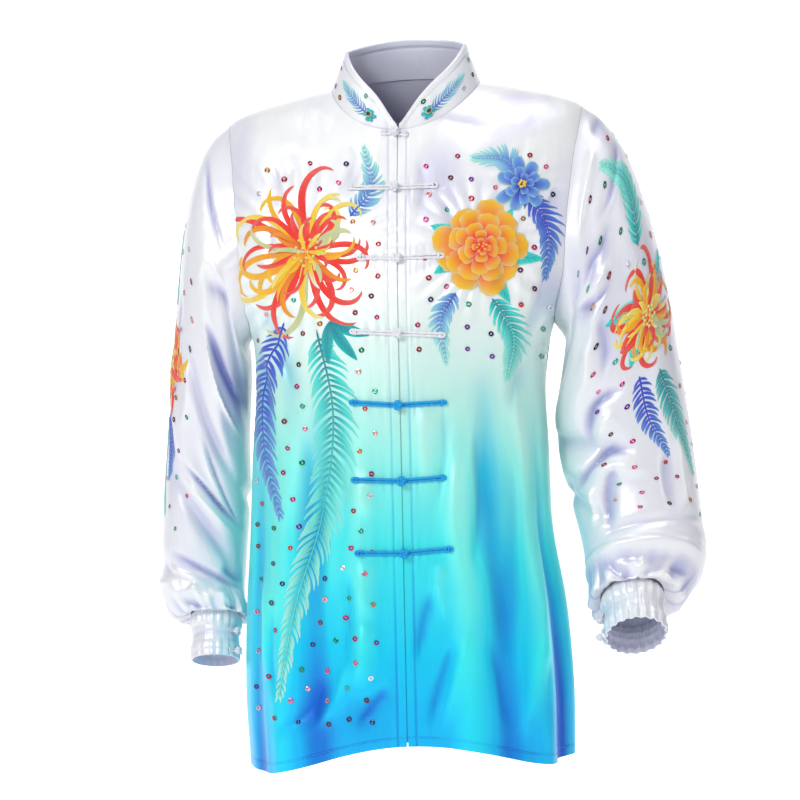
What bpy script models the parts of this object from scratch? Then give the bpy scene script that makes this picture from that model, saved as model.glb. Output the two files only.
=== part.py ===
"""A long-sleeved martial arts jacket of thin satin, filled out as worn, with nobody in it.

The frame is the jacket's own: +Z up, the front faces -Y and the wearer's left is +X. The origin is
the middle of the neck seam at the height of its sides, where the wearer's shoulders hold the jacket.
Sizes are in metres. Each cloth piece is a wall: a grid of points on a worked-out surface, and the
same grid moved inwards by the wall's thickness.
"""

import math

import bpy
import bmesh
import numpy as np

# Cloth and seams
CLOTH = 0.0015
COLLAR_CLOTH = 0.0024
CUFF_CLOTH = 0.0018
SEAM = 0.0005

# The body's sections, from the hem (t = 0) to the neck seam (t = 1). Heights are at the side seams,
# the centre front and the centre back, before the shoulders' lean is added. left and right are half
# widths, front and back are depths, and full is how much squarer than an ellipse the section is.
BODY_COLUMNS = ("t", "z_side", "z_front", "z_back", "left", "right", "front", "back", "full")
BODY_SECTIONS = (
    (0.000, -0.735, -0.711, -0.728, 0.183, 0.168, 0.134, 0.122, 0.20),
    (0.100, -0.660, -0.640, -0.655, 0.182, 0.173, 0.133, 0.120, 0.20),
    (0.200, -0.580, -0.568, -0.580, 0.175, 0.173, 0.132, 0.117, 0.20),
    (0.300, -0.500, -0.497, -0.502, 0.162, 0.171, 0.131, 0.114, 0.19),
    (0.420, -0.400, -0.410, -0.402, 0.157, 0.168, 0.130, 0.112, 0.18),
    (0.520, -0.322, -0.345, -0.325, 0.154, 0.164, 0.130, 0.114, 0.17),
    (0.590, -0.268, -0.301, -0.272, 0.163, 0.169, 0.129, 0.117, 0.16),
    (0.660, -0.205, -0.255, -0.212, 0.190, 0.192, 0.127, 0.118, 0.14),
    (0.740, -0.135, -0.206, -0.146, 0.203, 0.204, 0.120, 0.114, 0.11),
    (0.810, -0.078, -0.165, -0.093, 0.204, 0.205, 0.109, 0.105, 0.03),
    (0.870, -0.032, -0.130, -0.055, 0.193, 0.193, 0.097, 0.094, -0.08),
    (0.910, -0.019, -0.106, -0.032, 0.164, 0.164, 0.087, 0.083, -0.04),
    (0.955, -0.009, -0.080, -0.008, 0.125, 0.125, 0.076, 0.070, 0.01),
    (1.000, 0.000, -0.054, 0.014, 0.082, 0.082, 0.066, 0.058, 0.03),
)
ARMPIT_T = 0.590
SHOULDER_T = 0.870
ARMHOLE_MIDDLE = (SHOULDER_T + ARMPIT_T) / 2
ARMHOLE_REACH = (SHOULDER_T - ARMPIT_T) / 2
ARMHOLE_TURN = math.radians(32)
BACK = math.radians(90)
FRONT = math.radians(270)
VENT_T = 0.290
VENT_OPEN = 0.010
SHOULDER_LEAN = 0.045
FRONT_GAP = 0.0007
NECK_SWAY = -0.004
NECK_ROUND = 0.5
NECK_ROUND_T = 0.9
HEM_SWAY = 0.012
HEM_DIP = 0.014
HEM_DIP_T = 0.22

# Folds that hang down the body: where each lies round the body in degrees at its top and its
# bottom (0 is the wearer's left side, 90 the back, 180 the right side, 270 the front), its ends
# in t, its half width in degrees and its height. A height below nothing is a trough.
FOLD_COLUMNS = ("top_deg", "low_deg", "top_t", "low_t", "half_deg", "height")
BODY_FOLDS = (
    (318, 322, 0.58, -0.10, 6.0, 0.0060),
    (301, 303, 0.62, -0.10, 5.0, -0.0060),
    (288, 289, 0.55, -0.10, 5.0, 0.0050),
    (333, 338, 0.50, -0.10, 6.0, -0.0080),
    (349, 350, 0.40, -0.10, 5.0, 0.0050),
    (256, 257, 0.52, 0.05, 4.5, 0.0040),
    (243, 240, 0.60, -0.10, 5.5, -0.0065),
    (228, 226, 0.50, -0.10, 6.0, 0.0060),
    (210, 208, 0.46, -0.10, 6.0, -0.0060),
    (190, 188, 0.34, -0.10, 5.0, 0.0020),
    (30, 24, 0.60, -0.10, 6.0, 0.0060),
    (48, 44, 0.70, -0.10, 6.0, -0.0080),
    (66, 64, 0.60, -0.10, 7.0, 0.0070),
    (88, 90, 0.66, -0.10, 7.0, -0.0060),
    (110, 114, 0.62, -0.10, 7.0, 0.0070),
    (130, 136, 0.70, -0.10, 6.0, -0.0080),
    (150, 157, 0.60, -0.10, 6.0, 0.0060),
)
FOLD_START = 0.35
FOLD_END = 0.15

# The sleeves' sections, from the armhole (v = 0) to the cuff seam (v = 1), as distances out from
# the jacket's middle: the outer and the inner point, the depth of the middle (negative is forward),
# half the front-to-back width, and how far the arm leans forward there.
SLEEVE_COLUMNS = ("v", "outer", "outer_z", "inner", "inner_z", "y", "half_depth", "lean_deg")
LEFT_SLEEVE = (
    (0.00, 0.196, -0.021, 0.166, -0.262, 0.000, 0.069, 0),
    (0.06, 0.215, -0.036, 0.176, -0.277, 0.001, 0.073, 0),
    (0.14, 0.241, -0.075, 0.174, -0.296, 0.002, 0.075, 0),
    (0.24, 0.268, -0.148, 0.170, -0.322, 0.004, 0.075, 0),
    (0.34, 0.287, -0.225, 0.164, -0.352, 0.006, 0.074, 0),
    (0.44, 0.299, -0.295, 0.165, -0.385, 0.006, 0.073, 3),
    (0.54, 0.309, -0.358, 0.172, -0.422, 0.003, 0.071, 8),
    (0.64, 0.317, -0.416, 0.182, -0.458, -0.005, 0.068, 15),
    (0.74, 0.323, -0.468, 0.191, -0.490, -0.017, 0.065, 24),
    (0.82, 0.328, -0.507, 0.196, -0.513, -0.031, 0.061, 31),
    (0.89, 0.320, -0.537, 0.198, -0.541, -0.045, 0.055, 37),
    (0.95, 0.300, -0.557, 0.202, -0.566, -0.058, 0.044, 41),
    (1.00, 0.282, -0.553, 0.214, -0.560, -0.057, 0.034, 42),
)
RIGHT_SLEEVE = (
    (0.00, 0.196, -0.038, 0.168, -0.276, 0.000, 0.069, 0),
    (0.06, 0.218, -0.060, 0.176, -0.289, 0.003, 0.073, 0),
    (0.14, 0.235, -0.108, 0.174, -0.306, 0.007, 0.075, 0),
    (0.24, 0.247, -0.170, 0.174, -0.330, 0.013, 0.075, 0),
    (0.34, 0.254, -0.238, 0.176, -0.362, 0.020, 0.074, 0),
    (0.44, 0.260, -0.305, 0.178, -0.396, 0.028, 0.073, -2),
    (0.54, 0.266, -0.368, 0.178, -0.430, 0.036, 0.070, 0),
    (0.64, 0.271, -0.428, 0.179, -0.466, 0.041, 0.067, 4),
    (0.74, 0.275, -0.488, 0.182, -0.505, 0.044, 0.064, 9),
    (0.82, 0.277, -0.533, 0.184, -0.540, 0.043, 0.060, 13),
    (0.89, 0.275, -0.565, 0.184, -0.564, 0.038, 0.054, 16),
    (0.95, 0.260, -0.590, 0.178, -0.588, 0.030, 0.044, 18),
    (1.00, 0.243, -0.586, 0.187, -0.584, 0.030, 0.032, 18),
)
SLEEVE_FULL = 0.10
SLEEVE_SPLIT = 0.50
SPLIT_GAP = 0.0014
ARMHOLE_BLEND = 0.16
ARMHOLE_TURN_IN = 0.08

# Creases on the sleeves: the middle of each round the arm in degrees (0 is outside, 90 the front,
# 180 inside) and down it in v, how far it turns from lying round the arm, half its length and half
# its width in metres, and its height.
CREASE_COLUMNS = ("turn_deg", "v", "slant_deg", "half_length", "half_width", "height")
LEFT_CREASES = (
    (150, 0.20, 62, 0.090, 0.014, -0.008),
    (110, 0.30, 70, 0.090, 0.015, 0.006),
    (140, 0.50, -35, 0.060, 0.013, -0.009),
    (120, 0.60, -30, 0.060, 0.014, 0.008),
    (150, 0.69, -58, 0.060, 0.012, -0.008),
    (80, 0.80, 12, 0.080, 0.010, -0.007),
    (75, 0.86, 4, 0.080, 0.010, 0.007),
    (200, 0.62, 20, 0.060, 0.014, -0.008),
    (250, 0.52, -30, 0.070, 0.016, 0.007),
    (270, 0.72, 15, 0.070, 0.014, -0.007),
    (330, 0.30, 75, 0.080, 0.016, -0.005),
)
RIGHT_CREASES = (
    (140, 0.22, 66, 0.090, 0.014, -0.008),
    (100, 0.34, 72, 0.090, 0.015, 0.006),
    (95, 0.46, 50, 0.070, 0.012, -0.010),
    (70, 0.58, 52, 0.090, 0.014, 0.007),
    (95, 0.72, 42, 0.070, 0.012, -0.010),
    (70, 0.85, 16, 0.080, 0.011, -0.007),
    (80, 0.91, 5, 0.080, 0.010, 0.006),
    (200, 0.62, 20, 0.060, 0.014, -0.006),
    (250, 0.52, -30, 0.070, 0.016, 0.007),
    (270, 0.72, 15, 0.070, 0.014, -0.007),
    (330, 0.30, 75, 0.080, 0.016, -0.005),
)
SLEEVE_LENGTH = 0.56
SLEEVE_ROUND = 0.07
CREASE_END = 0.12
SLEEVE_GATHERS = 12
SLEEVE_GATHER = 0.0022
GATHER_START, GATHER_FULL, GATHER_END = 0.86, 0.95, 0.984

# Cuff: down it, the share of its height, the growth of its radius and how much the gathers show
CUFF_HEIGHT = 0.052
CUFF_GATHERS = 20
CUFF_GATHER = 0.0011
CUFF_COLUMNS = ("down", "grow", "gather")
CUFF_SECTIONS = (
    (0.00, -0.0008, 0.3),
    (0.24, 0.0008, 1.0),
    (0.42, -0.0010, 0.2),
    (0.58, -0.0010, 0.2),
    (0.80, 0.0008, 1.0),
    (1.00, 0.0000, 1.0),
)
CUFF_TAPER = 0.96
CUFF_RADIUS = 0.034

# Collar
COLLAR_HEIGHT = 0.046
COLLAR_LEAN = math.radians(21)
COLLAR_CORNER = 0.017
COLLAR_CORNER_POWER = 1.35
COLLAR_END = 0.006

# The collar's rows: the share of its height and how far each face stands out there, for the
# binding along its top edge
COLLAR_ROW_COLUMNS = ("share", "out")
COLLAR_ROWS = (
    (0.00, 0.0000),
    (0.40, 0.0000),
    (0.76, 0.0000),
    (0.80, 0.0007),
    (0.95, 0.0007),
    (1.00, -0.0004),
)

# Underlap behind the centre opening
UNDERLAP_HALF = 0.019
UNDERLAP_CLOTH = 0.0012
UNDERLAP_ROWS = (0.006, 0.992, 22)
UNDERLAP_COLUMNS = 4

# Knotted closures: the height of each knot, its distance from the opening's middle, the length
# of its loop half and of its knot half, and how far the two tips lie above the knot.
FROG_COLUMNS = ("z", "x", "loop", "knot", "loop_rise", "knot_rise")
FROGS = (
    (-0.058, -0.003, 0.015, 0.014, 0.000, -0.002),
    (-0.119, -0.003, 0.051, 0.047, 0.000, 0.002),
    (-0.195, 0.000, 0.042, 0.048, 0.000, 0.002),
    (-0.275, -0.001, 0.050, 0.049, 0.002, -0.002),
    (-0.351, -0.002, 0.051, 0.050, 0.003, 0.003),
    (-0.431, 0.000, 0.052, 0.047, 0.001, 0.004),
    (-0.507, 0.001, 0.051, 0.051, 0.000, 0.005),
)
WHITE_FROGS = 4
CORD_HALF = 0.0031
CORD_THICK = 0.0017
KNOT_RADIUS = 0.0058
CUFF_KNOT_RADIUS = 0.0042
CUFF_KNOT_DEG = {"left": 188, "right": 148}
CUFF_KNOTS_DOWN = (0.45, 0.88)
CUFF_LOOP = 0.013
LIFT = 0.0004
FRONT_STEPS = 12

# Points closer than this are one point, and edges sharper than this are shaded as edges
SAME_POINT = 1e-6
SHARP = math.radians(50)

# A closure's rolled end: distance from the tip, and the share of the cord's width and thickness.
# KNOT_RINGS_DEG are the turns of the rings over the ball.
CORD_TIP = ((0.0, 0.55, 0.6), (0.0012, 1.25, 1.1), (0.0035, 1.35, 1.15), (0.0065, 1.0, 1.0))
KNOT_RINGS_DEG = (35, 65, 90, 115, 145, 163)

# The cuff knots' cord, from end to end: the share of its half length and of the knot's radius
CUFF_KNOT_AWAY = (-1.0, -0.72, -0.36, -0.27, 0.0, 0.27, 0.36, 0.72, 1.0)
CUFF_KNOT_SWELL = (0.27, 0.38, 0.38, 0.7, 1.0, 0.7, 0.38, 0.38, 0.27)

# Grid sizes
LOW_ROWS, ARM_ROWS, TOP_ROWS = 13, 12, 5
FRONT_COLUMNS, BACK_COLUMNS = 14, 13
SLEEVE_ROWS = 10
COLLAR_COLUMNS = 30

# Finishes: colour, roughness, metallic
FINISHES = {
    "satin_white": ((0.90, 0.90, 0.93, 1.0), 0.38, 0.0),
    "satin_shaded": ((0.42, 0.80, 0.92, 1.0), 0.36, 0.0),
    "cord_white": ((0.90, 0.89, 0.92, 1.0), 0.45, 0.0),
    "cord_blue": ((0.02, 0.42, 0.72, 1.0), 0.45, 0.0),
}


def unit(vectors):
    """The same directions at length 1."""
    return vectors / np.linalg.norm(vectors, axis=-1, keepdims=True)


def table(columns, rows):
    """The rows as one array for each named column."""
    return dict(zip(columns, np.array(rows, float).T))


def smooth(known, column, at):
    """A cubic curve through a table's column, with slopes taken from the neighbouring rows."""
    x = known[next(iter(known))]
    y = known[column]
    slope = np.gradient(y, x)
    at = np.asarray(at, float)
    k = np.clip(np.searchsorted(x, at, side="right") - 1, 0, len(x) - 2)
    step = x[k + 1] - x[k]
    s = (at - x[k]) / step
    rise = y[k] * (1 + 2 * s) * (1 - s) ** 2 + y[k + 1] * s**2 * (3 - 2 * s)
    return rise + step * (slope[k] * s * (1 - s) ** 2 - slope[k + 1] * s**2 * (1 - s))


def ease(x):
    """0 below 0, 1 above 1, and a smooth step between."""
    x = np.clip(x, 0, 1)
    return x * x * (3 - 2 * x)


BODY = table(BODY_COLUMNS, BODY_SECTIONS)
SLEEVES = {
    "left": table(SLEEVE_COLUMNS, LEFT_SLEEVE),
    "right": table(SLEEVE_COLUMNS, RIGHT_SLEEVE),
}
CREASES = {"left": LEFT_CREASES, "right": RIGHT_CREASES}
SIDE = {"left": 1.0, "right": -1.0}


def body(phi, t):
    """Points of the body's outside at the turn phi (0 wearer's left, a quarter turn the back) and
    the height t. The section is an ellipse with fuller corners, and the folds move it in or out
    along the ellipse's own normal."""
    phi, t = np.broadcast_arrays(np.asarray(phi, float), np.asarray(t, float))
    s, c = np.sin(phi), np.cos(phi)
    at = {name: smooth(BODY, name, t) for name in BODY_COLUMNS[1:]}
    front = s < 0
    half = np.where(c > 0, at["left"], at["right"])
    depth = np.where(front, at["front"], at["back"])
    x = half * c * (1 + at["full"] * s * s)
    y = depth * s * (1 + at["full"] * c * c)
    end = np.where(front, at["z_front"], at["z_back"])
    power = 2 - NECK_ROUND * ease((t - NECK_ROUND_T) / (1 - NECK_ROUND_T))
    z = at["z_side"] + (end - at["z_side"]) * np.abs(s) ** power
    low = 1 - ease(t / HEM_DIP_T)
    z = z - np.where(front, HEM_DIP * low * np.sin(2 * phi) ** 2, 0)
    sway = HEM_SWAY + (NECK_SWAY - HEM_SWAY) * t
    x = x + np.where(front, sway * s * s, 0)
    z = z + SHOULDER_LEAN * x
    out = body_relief(phi, t)
    nx, ny = c / half, s / depth
    length = np.hypot(nx, ny)
    return np.stack([x + out * nx / length, y + out * ny / length, z], axis=-1)


def body_relief(phi, t):
    """How far the hanging folds move the body's surface out: a bell curve across each fold, eased
    in at its ends."""
    turn = np.degrees(phi) % 360
    out = np.zeros(np.shape(turn))
    for fold in BODY_FOLDS:
        f = dict(zip(FOLD_COLUMNS, fold))
        down = (f["top_t"] - t) / (f["top_t"] - f["low_t"])
        middle = f["top_deg"] + (f["low_deg"] - f["top_deg"]) * np.clip(down, 0, 1)
        off = (turn - middle + 180) % 360 - 180
        fade = ease(down / FOLD_START) * ease((1 - down) / FOLD_END)
        out = out + f["height"] * fade * np.exp(-((off / f["half_deg"]) ** 2))
    return out


def armhole(side, theta):
    """The armhole's seam on the body, at the turn theta round the arm (0 the shoulder, a quarter
    turn the front, half a turn the armpit)."""
    t = ARMHOLE_MIDDLE + ARMHOLE_REACH * np.cos(theta)
    turn = ARMHOLE_TURN * np.sin(theta)
    phi = -turn if side == "left" else math.pi + turn
    return body(phi, t)


def sleeve_section(side, theta, v):
    """Points of a sleeve's sections: ellipses with fuller corners, each through its outer and its
    inner point, with the creases and gathers."""
    at = {name: smooth(SLEEVES[side], name, v) for name in SLEEVE_COLUMNS[1:]}
    s, c = np.sin(theta), np.cos(theta)
    lean = np.radians(at["lean_deg"])
    across = np.stack([at["outer"] - at["inner"], 0 * v, at["outer_z"] - at["inner_z"]], -1) / 2
    middle = np.stack([at["outer"] + at["inner"], 2 * at["y"], at["outer_z"] + at["inner_z"]], -1) / 2
    forward = np.stack([0 * v, -np.cos(lean), np.sin(lean)], -1) * at["half_depth"][..., None]
    wide = (c * (1 + SLEEVE_FULL * s * s))[..., None] * across
    deep = (s * (1 + SLEEVE_FULL * c * c))[..., None] * forward
    out = (wide / np.linalg.norm(across, axis=-1, keepdims=True)
           + deep / at["half_depth"][..., None])
    points = middle + wide + deep + out * sleeve_relief(side, theta, v)[..., None]
    return points * np.array([SIDE[side], 1, 1])


def sleeve(side, theta, v):
    """Points of a sleeve's outside: its own sections, moved near v = 0 by what takes the first of
    them to the armhole's seam, so that the sleeve leaves the seam in its own direction."""
    theta, v = np.broadcast_arrays(np.asarray(theta, float), np.asarray(v, float))
    seam = armhole(side, theta) + np.array([SIDE[side] * SEAM, 0, 0])
    hold = (1 - ease(v / ARMHOLE_BLEND))[..., None]
    return sleeve_section(side, theta, v) + hold * (seam - sleeve_section(side, theta, 0 * v))


def sleeve_relief(side, theta, v):
    """The creases, each a bell curve across a slanting line, and the gathers above the cuff."""
    out = np.zeros(np.shape(v))
    for crease in CREASES[side]:
        f = dict(zip(CREASE_COLUMNS, crease))
        turn = (theta - math.radians(f["turn_deg"]) + math.pi) % (2 * math.pi) - math.pi
        a, b = turn * SLEEVE_ROUND, (v - f["v"]) * SLEEVE_LENGTH
        slant = math.radians(f["slant_deg"])
        along = a * math.cos(slant) + b * math.sin(slant)
        off = b * math.cos(slant) - a * math.sin(slant)
        bell = np.exp(-((off / f["half_width"]) ** 2) - (along / f["half_length"]) ** 4)
        out = out + f["height"] * bell
    out = out * ease((1 - v) / CREASE_END)
    start = ease((v - GATHER_START) / (GATHER_FULL - GATHER_START))
    gather = start * (1 - ease((v - GATHER_END) / (1 - GATHER_END)))
    return out + SLEEVE_GATHER * gather * np.cos(SLEEVE_GATHERS * theta)


def cuff(side, theta, down, grow, gather):
    """Points of a cuff's outside: rings that carry on from the sleeve's last section, along the
    arm's own line, with the gathers as waves round it."""
    end = {name: SLEEVES[side][name][-1] for name in SLEEVE_COLUMNS}
    lean = math.radians(end["lean_deg"])
    across = np.array([end["outer"] - end["inner"], 0, end["outer_z"] - end["inner_z"]]) / 2
    middle = np.array([end["outer"] + end["inner"], 2 * end["y"], end["outer_z"] + end["inner_z"]]) / 2
    forward = np.array([0, -math.cos(lean), math.sin(lean)])
    aside = unit(across)
    line = np.cross(aside, forward)
    line = line * (-np.sign(line[2]))
    radius = grow + CUFF_GATHER * gather * np.cos(CUFF_GATHERS * theta)
    taper = 1 - (1 - CUFF_TAPER) * down
    c = np.cos(theta)[..., None] * (np.linalg.norm(across) * taper + radius)[..., None] * aside
    s = np.sin(theta)[..., None] * (end["half_depth"] * taper + radius)[..., None] * forward
    along = (SEAM + CUFF_HEIGHT * down)[..., None] * line
    return (middle + c + s + along) * np.array([SIDE[side], 1, 1])


def normals(surface, u, v, step=1e-4):
    """Unit normals of surface(u, v), from its slopes both ways."""
    du = surface(u + step, v) - surface(u - step, v)
    dv = surface(u, v + step) - surface(u, v - step)
    return unit(np.cross(du, dv))


def grid_faces(rows, columns, start, wrap):
    """Quads of a grid whose first point has the index start, row by row."""
    count = columns if wrap else columns - 1
    r, c = np.meshgrid(np.arange(rows - 1), np.arange(count), indexing="ij")
    a = start + r * columns + c
    b = start + r * columns + (c + 1) % columns
    return np.stack([a, b, b + columns, a + columns], -1).reshape(-1, 4)


def strip_faces(line, other, wrap):
    """Quads between two lines of point indices."""
    if wrap:
        line, other = np.append(line, line[0]), np.append(other, other[0])
    return np.stack([line[:-1], line[1:], other[1:], other[:-1]], -1)


def wall(name, outer, inner, finish, wrap=False):
    """A closed solid between two grids of points. wrap joins the last column to the first."""
    rows, columns = outer.shape[:2]
    count = rows * columns
    index = np.arange(count).reshape(rows, columns)
    faces = [grid_faces(rows, columns, 0, wrap), grid_faces(rows, columns, count, wrap)[:, ::-1]]
    for line in (index[0], index[-1]):
        faces.append(strip_faces(line, line + count, wrap))
    if not wrap:
        for line in (index[:, 0], index[:, -1]):
            faces.append(strip_faces(line, line + count, False))
    points = np.concatenate([outer.reshape(-1, 3), inner.reshape(-1, 3)])
    return solid(name, points, np.concatenate(faces), finish)


def solid(name, points, faces, finish):
    """An object from points and faces, with its normals turned outwards."""
    mesh = bpy.data.meshes.new(name)
    mesh.from_pydata(points.tolist(), [], [[int(i) for i in face] for face in faces])
    work = bmesh.new()
    work.from_mesh(mesh)
    bmesh.ops.remove_doubles(work, verts=work.verts, dist=SAME_POINT)
    bmesh.ops.recalc_face_normals(work, faces=work.faces)
    work.to_mesh(mesh)
    work.free()
    mesh.shade_smooth()
    mesh.set_sharp_from_angle(angle=SHARP)
    mesh.materials.append(finish_named(finish))
    piece = bpy.data.objects.new(name, mesh)
    JACKET.objects.link(piece)
    return piece


def finish_named(name):
    """The material of one finish, made once."""
    made = bpy.data.materials.get(name)
    if made:
        return made
    colour, rough, metallic = FINISHES[name]
    made = bpy.data.materials.new(name)
    made.use_nodes = True
    shader = made.node_tree.nodes["Principled BSDF"]
    shader.inputs["Base Color"].default_value = colour
    shader.inputs["Roughness"].default_value = rough
    shader.inputs["Metallic"].default_value = metallic
    made.diffuse_color = colour
    return made


def body_rows():
    """The heights of the panels' rows. Those of the armhole are spaced like points round a circle,
    so that the sleeve's first ring has the same points."""
    low = np.linspace(0, ARMPIT_T, LOW_ROWS + 1)[:-1]
    turn = np.linspace(math.pi, 0, ARM_ROWS + 1)
    top = np.linspace(SHOULDER_T, 1, TOP_ROWS + 1)[1:]
    return np.concatenate([low, ARMHOLE_MIDDLE + ARMHOLE_REACH * np.cos(turn), top])


def side_edge(t, depth):
    """How far a panel stops short of the side line, as a turn: half the seam's gap, the armhole,
    or the vent that opens towards the hem."""
    inside = np.clip(1 - ((t - ARMHOLE_MIDDLE) / ARMHOLE_REACH) ** 2, 0, 1)
    vent = VENT_OPEN / 2 * np.clip((VENT_T - t) / VENT_T, 0, 1)
    return ARMHOLE_TURN * np.sqrt(inside) + (SEAM / 2 + vent) / depth


def front_edge(t, side, gap):
    """The turn at which a front panel's edge lies gap from the opening's middle."""
    half = smooth(BODY, side, t) * (1 + smooth(BODY, "full", t))
    return SIDE[side] * np.arcsin(gap / half)


def back_edge(t, side):
    """How far a back half stops short of the middle, as a turn: half the seam's gap."""
    return SEAM / 2 / (smooth(BODY, side, t) * (1 + smooth(BODY, "full", t)))


def panel(name, first, last, rows, columns, finish, thick=CLOTH, inset=0.0):
    """A cloth panel between two turns, one for each row, as a wall that grows inwards."""
    share = np.linspace(0, 1, columns + 1)
    phi = first[:, None] + (last - first)[:, None] * share
    t = np.repeat(rows[:, None], columns + 1, axis=1)
    outwards = normals(body, phi, t)
    outer = body(phi, t) - inset * outwards
    return wall(name, outer, outer - thick * outwards, finish)


def build_body():
    """The two fronts, which meet at the centre, the two halves of the back, which meet at its
    middle, and the underlap behind the opening."""
    t = body_rows()
    front, back = smooth(BODY, "front", t), smooth(BODY, "back", t)
    panel("front_left", FRONT + front_edge(t, "left", FRONT_GAP),
          2 * math.pi - side_edge(t, front), t, FRONT_COLUMNS, "satin_shaded")
    panel("front_right", math.pi + side_edge(t, front),
          FRONT + front_edge(t, "right", FRONT_GAP), t, FRONT_COLUMNS, "satin_shaded")
    middle = np.full(len(t), BACK)
    panel("back_left", side_edge(t, back), middle - back_edge(t, "left"), t, BACK_COLUMNS,
          "satin_shaded")
    panel("back_right", middle + back_edge(t, "right"), math.pi - side_edge(t, back), t,
          BACK_COLUMNS, "satin_shaded")
    rows = np.linspace(*UNDERLAP_ROWS)
    panel("underlap", FRONT + front_edge(rows, "right", UNDERLAP_HALF),
          FRONT + front_edge(rows, "left", UNDERLAP_HALF), rows, UNDERLAP_COLUMNS, "satin_shaded",
          UNDERLAP_CLOTH, CLOTH + LIFT)


def sleeve_part(name, side, first_v, last_v, first_turn):
    """A quarter of a sleeve, between two of its sections and over half a turn, as a wall that
    grows inwards. It stops half a seam's gap short of the line that the halves meet at."""
    v = np.linspace(first_v, last_v, SLEEVE_ROWS + 1)[:, None]
    short = SEAM / 2 / smooth(SLEEVES[side], "half_depth", v)
    share = np.linspace(0, 1, ARM_ROWS + 1)
    theta = first_turn + short + (math.pi - 2 * short) * share
    theta, v = np.broadcast_arrays(theta, v)
    step = 1e-3
    du = sleeve(side, theta + step, v) - sleeve(side, theta - step, v)
    dv = sleeve(side, theta, np.minimum(v + step, 1)) - sleeve(side, theta, np.maximum(v - step, 0))
    outer = sleeve(side, theta, v)
    ring = sleeve(side, np.arange(2 * ARM_ROWS) * math.pi / ARM_ROWS, v[:, :1])
    inwards = unit(np.cross(dv, du) * SIDE[side])
    across = unit((ring.mean(axis=1, keepdims=True) - outer) * np.array([0, 1, 1]))
    hold = (1 - ease(v / ARMHOLE_TURN_IN))[..., None]
    inwards = unit(inwards * (1 - hold) + across * hold)
    wall(name, outer, outer + CLOTH * inwards, "satin_white")


def build_sleeve(side):
    """A sleeve in four parts, front and back of its upper and its lower arm, and its cuff."""
    for half, first_turn in (("front", 0.0), ("back", math.pi)):
        sleeve_part(f"sleeve_{side}_upper_{half}", side, 0, SLEEVE_SPLIT - SPLIT_GAP / 2, first_turn)
        sleeve_part(f"sleeve_{side}_lower_{half}", side, SLEEVE_SPLIT + SPLIT_GAP / 2, 1, first_turn)

    shape = table(CUFF_COLUMNS, CUFF_SECTIONS)
    turn = np.arange(2 * CUFF_GATHERS) * math.pi / CUFF_GATHERS
    turn, row = np.meshgrid(turn, np.arange(len(CUFF_SECTIONS)))
    down, grow, gather = (shape[name][row] for name in CUFF_COLUMNS)
    outer = cuff(side, turn, down, grow, gather)
    inner = cuff(side, turn, down, grow - CUFF_CLOTH, gather)
    wall(f"cuff_{side}", outer, inner, "satin_white", wrap=True)


def collar_height(phi):
    """The collar's height, which falls in a round corner to its ends at the centre front."""
    arc = np.abs((phi - FRONT + math.pi) % (2 * math.pi) - math.pi) * BODY["front"][-1]
    rise = 1 - np.exp(-((arc / COLLAR_CORNER) ** COLLAR_CORNER_POWER))
    return COLLAR_END + (COLLAR_HEIGHT - COLLAR_END) * rise


def collar_point(phi, up, inset):
    """Points of the collar, which stands on the neck seam and leans in towards the neck."""
    foot = body(phi, np.ones(np.shape(phi)))
    radial = np.stack([np.cos(phi), np.sin(phi), 0 * phi], -1)
    lean = COLLAR_LEAN
    rise = np.array([0, 0, math.cos(lean)]) - math.sin(lean) * radial
    thick = math.cos(lean) * radial + np.array([0, 0, math.sin(lean)])
    return foot + (SEAM + up)[..., None] * rise - inset[..., None] * thick


def build_collar():
    """The stand collar: a band with a thicker binding along its top edge."""
    end = float(front_edge(np.array(1.0), "left", 2 * FRONT_GAP))
    phi = np.linspace(FRONT - 2 * math.pi + end, FRONT - end, COLLAR_COLUMNS + 1)
    rows = table(COLLAR_ROW_COLUMNS, COLLAR_ROWS)
    turn, share = np.meshgrid(phi, rows["share"])
    out = np.repeat(rows["out"][:, None], len(phi), axis=1)
    up = share * collar_height(turn)
    outer = collar_point(turn, up, -out)
    inner = collar_point(turn, up, COLLAR_CLOTH + out)
    wall("collar", outer, inner, "satin_white")


def on_front(x, z):
    """The turn and height at which the body's front lies at the given x and z, found in
    FRONT_STEPS steps along its slopes."""
    phi = np.full(np.shape(x), FRONT)
    t = np.full(np.shape(x), 0.5)
    step = 1e-4
    for _ in range(FRONT_STEPS):
        here = body(phi, t)
        a = (body(phi + step, t) - here) / step
        b = (body(phi, t + step) - here) / step
        dx, dz = x - here[..., 0], z - here[..., 2]
        det = a[..., 0] * b[..., 2] - a[..., 2] * b[..., 0]
        phi = phi + (dx * b[..., 2] - dz * b[..., 0]) / det
        t = np.clip(t + (dz * a[..., 0] - dx * a[..., 2]) / det, 0, 1)
    return phi, t


def lofted(name, middles, sides, outs, finish, around=6):
    """A closed tube through sections, each with a middle and its two half axes, with flat ends."""
    turn = np.arange(around) * 2 * math.pi / around
    rings = (middles[:, None] + np.cos(turn)[None, :, None] * sides[:, None]
             + np.sin(turn)[None, :, None] * outs[:, None])
    count = len(middles)
    faces = grid_faces(count, around, 0, True).tolist()
    faces.append(list(range(around))[::-1])
    faces.append(list(range((count - 1) * around, count * around)))
    return solid(name, rings.reshape(-1, 3), faces, finish)


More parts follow.
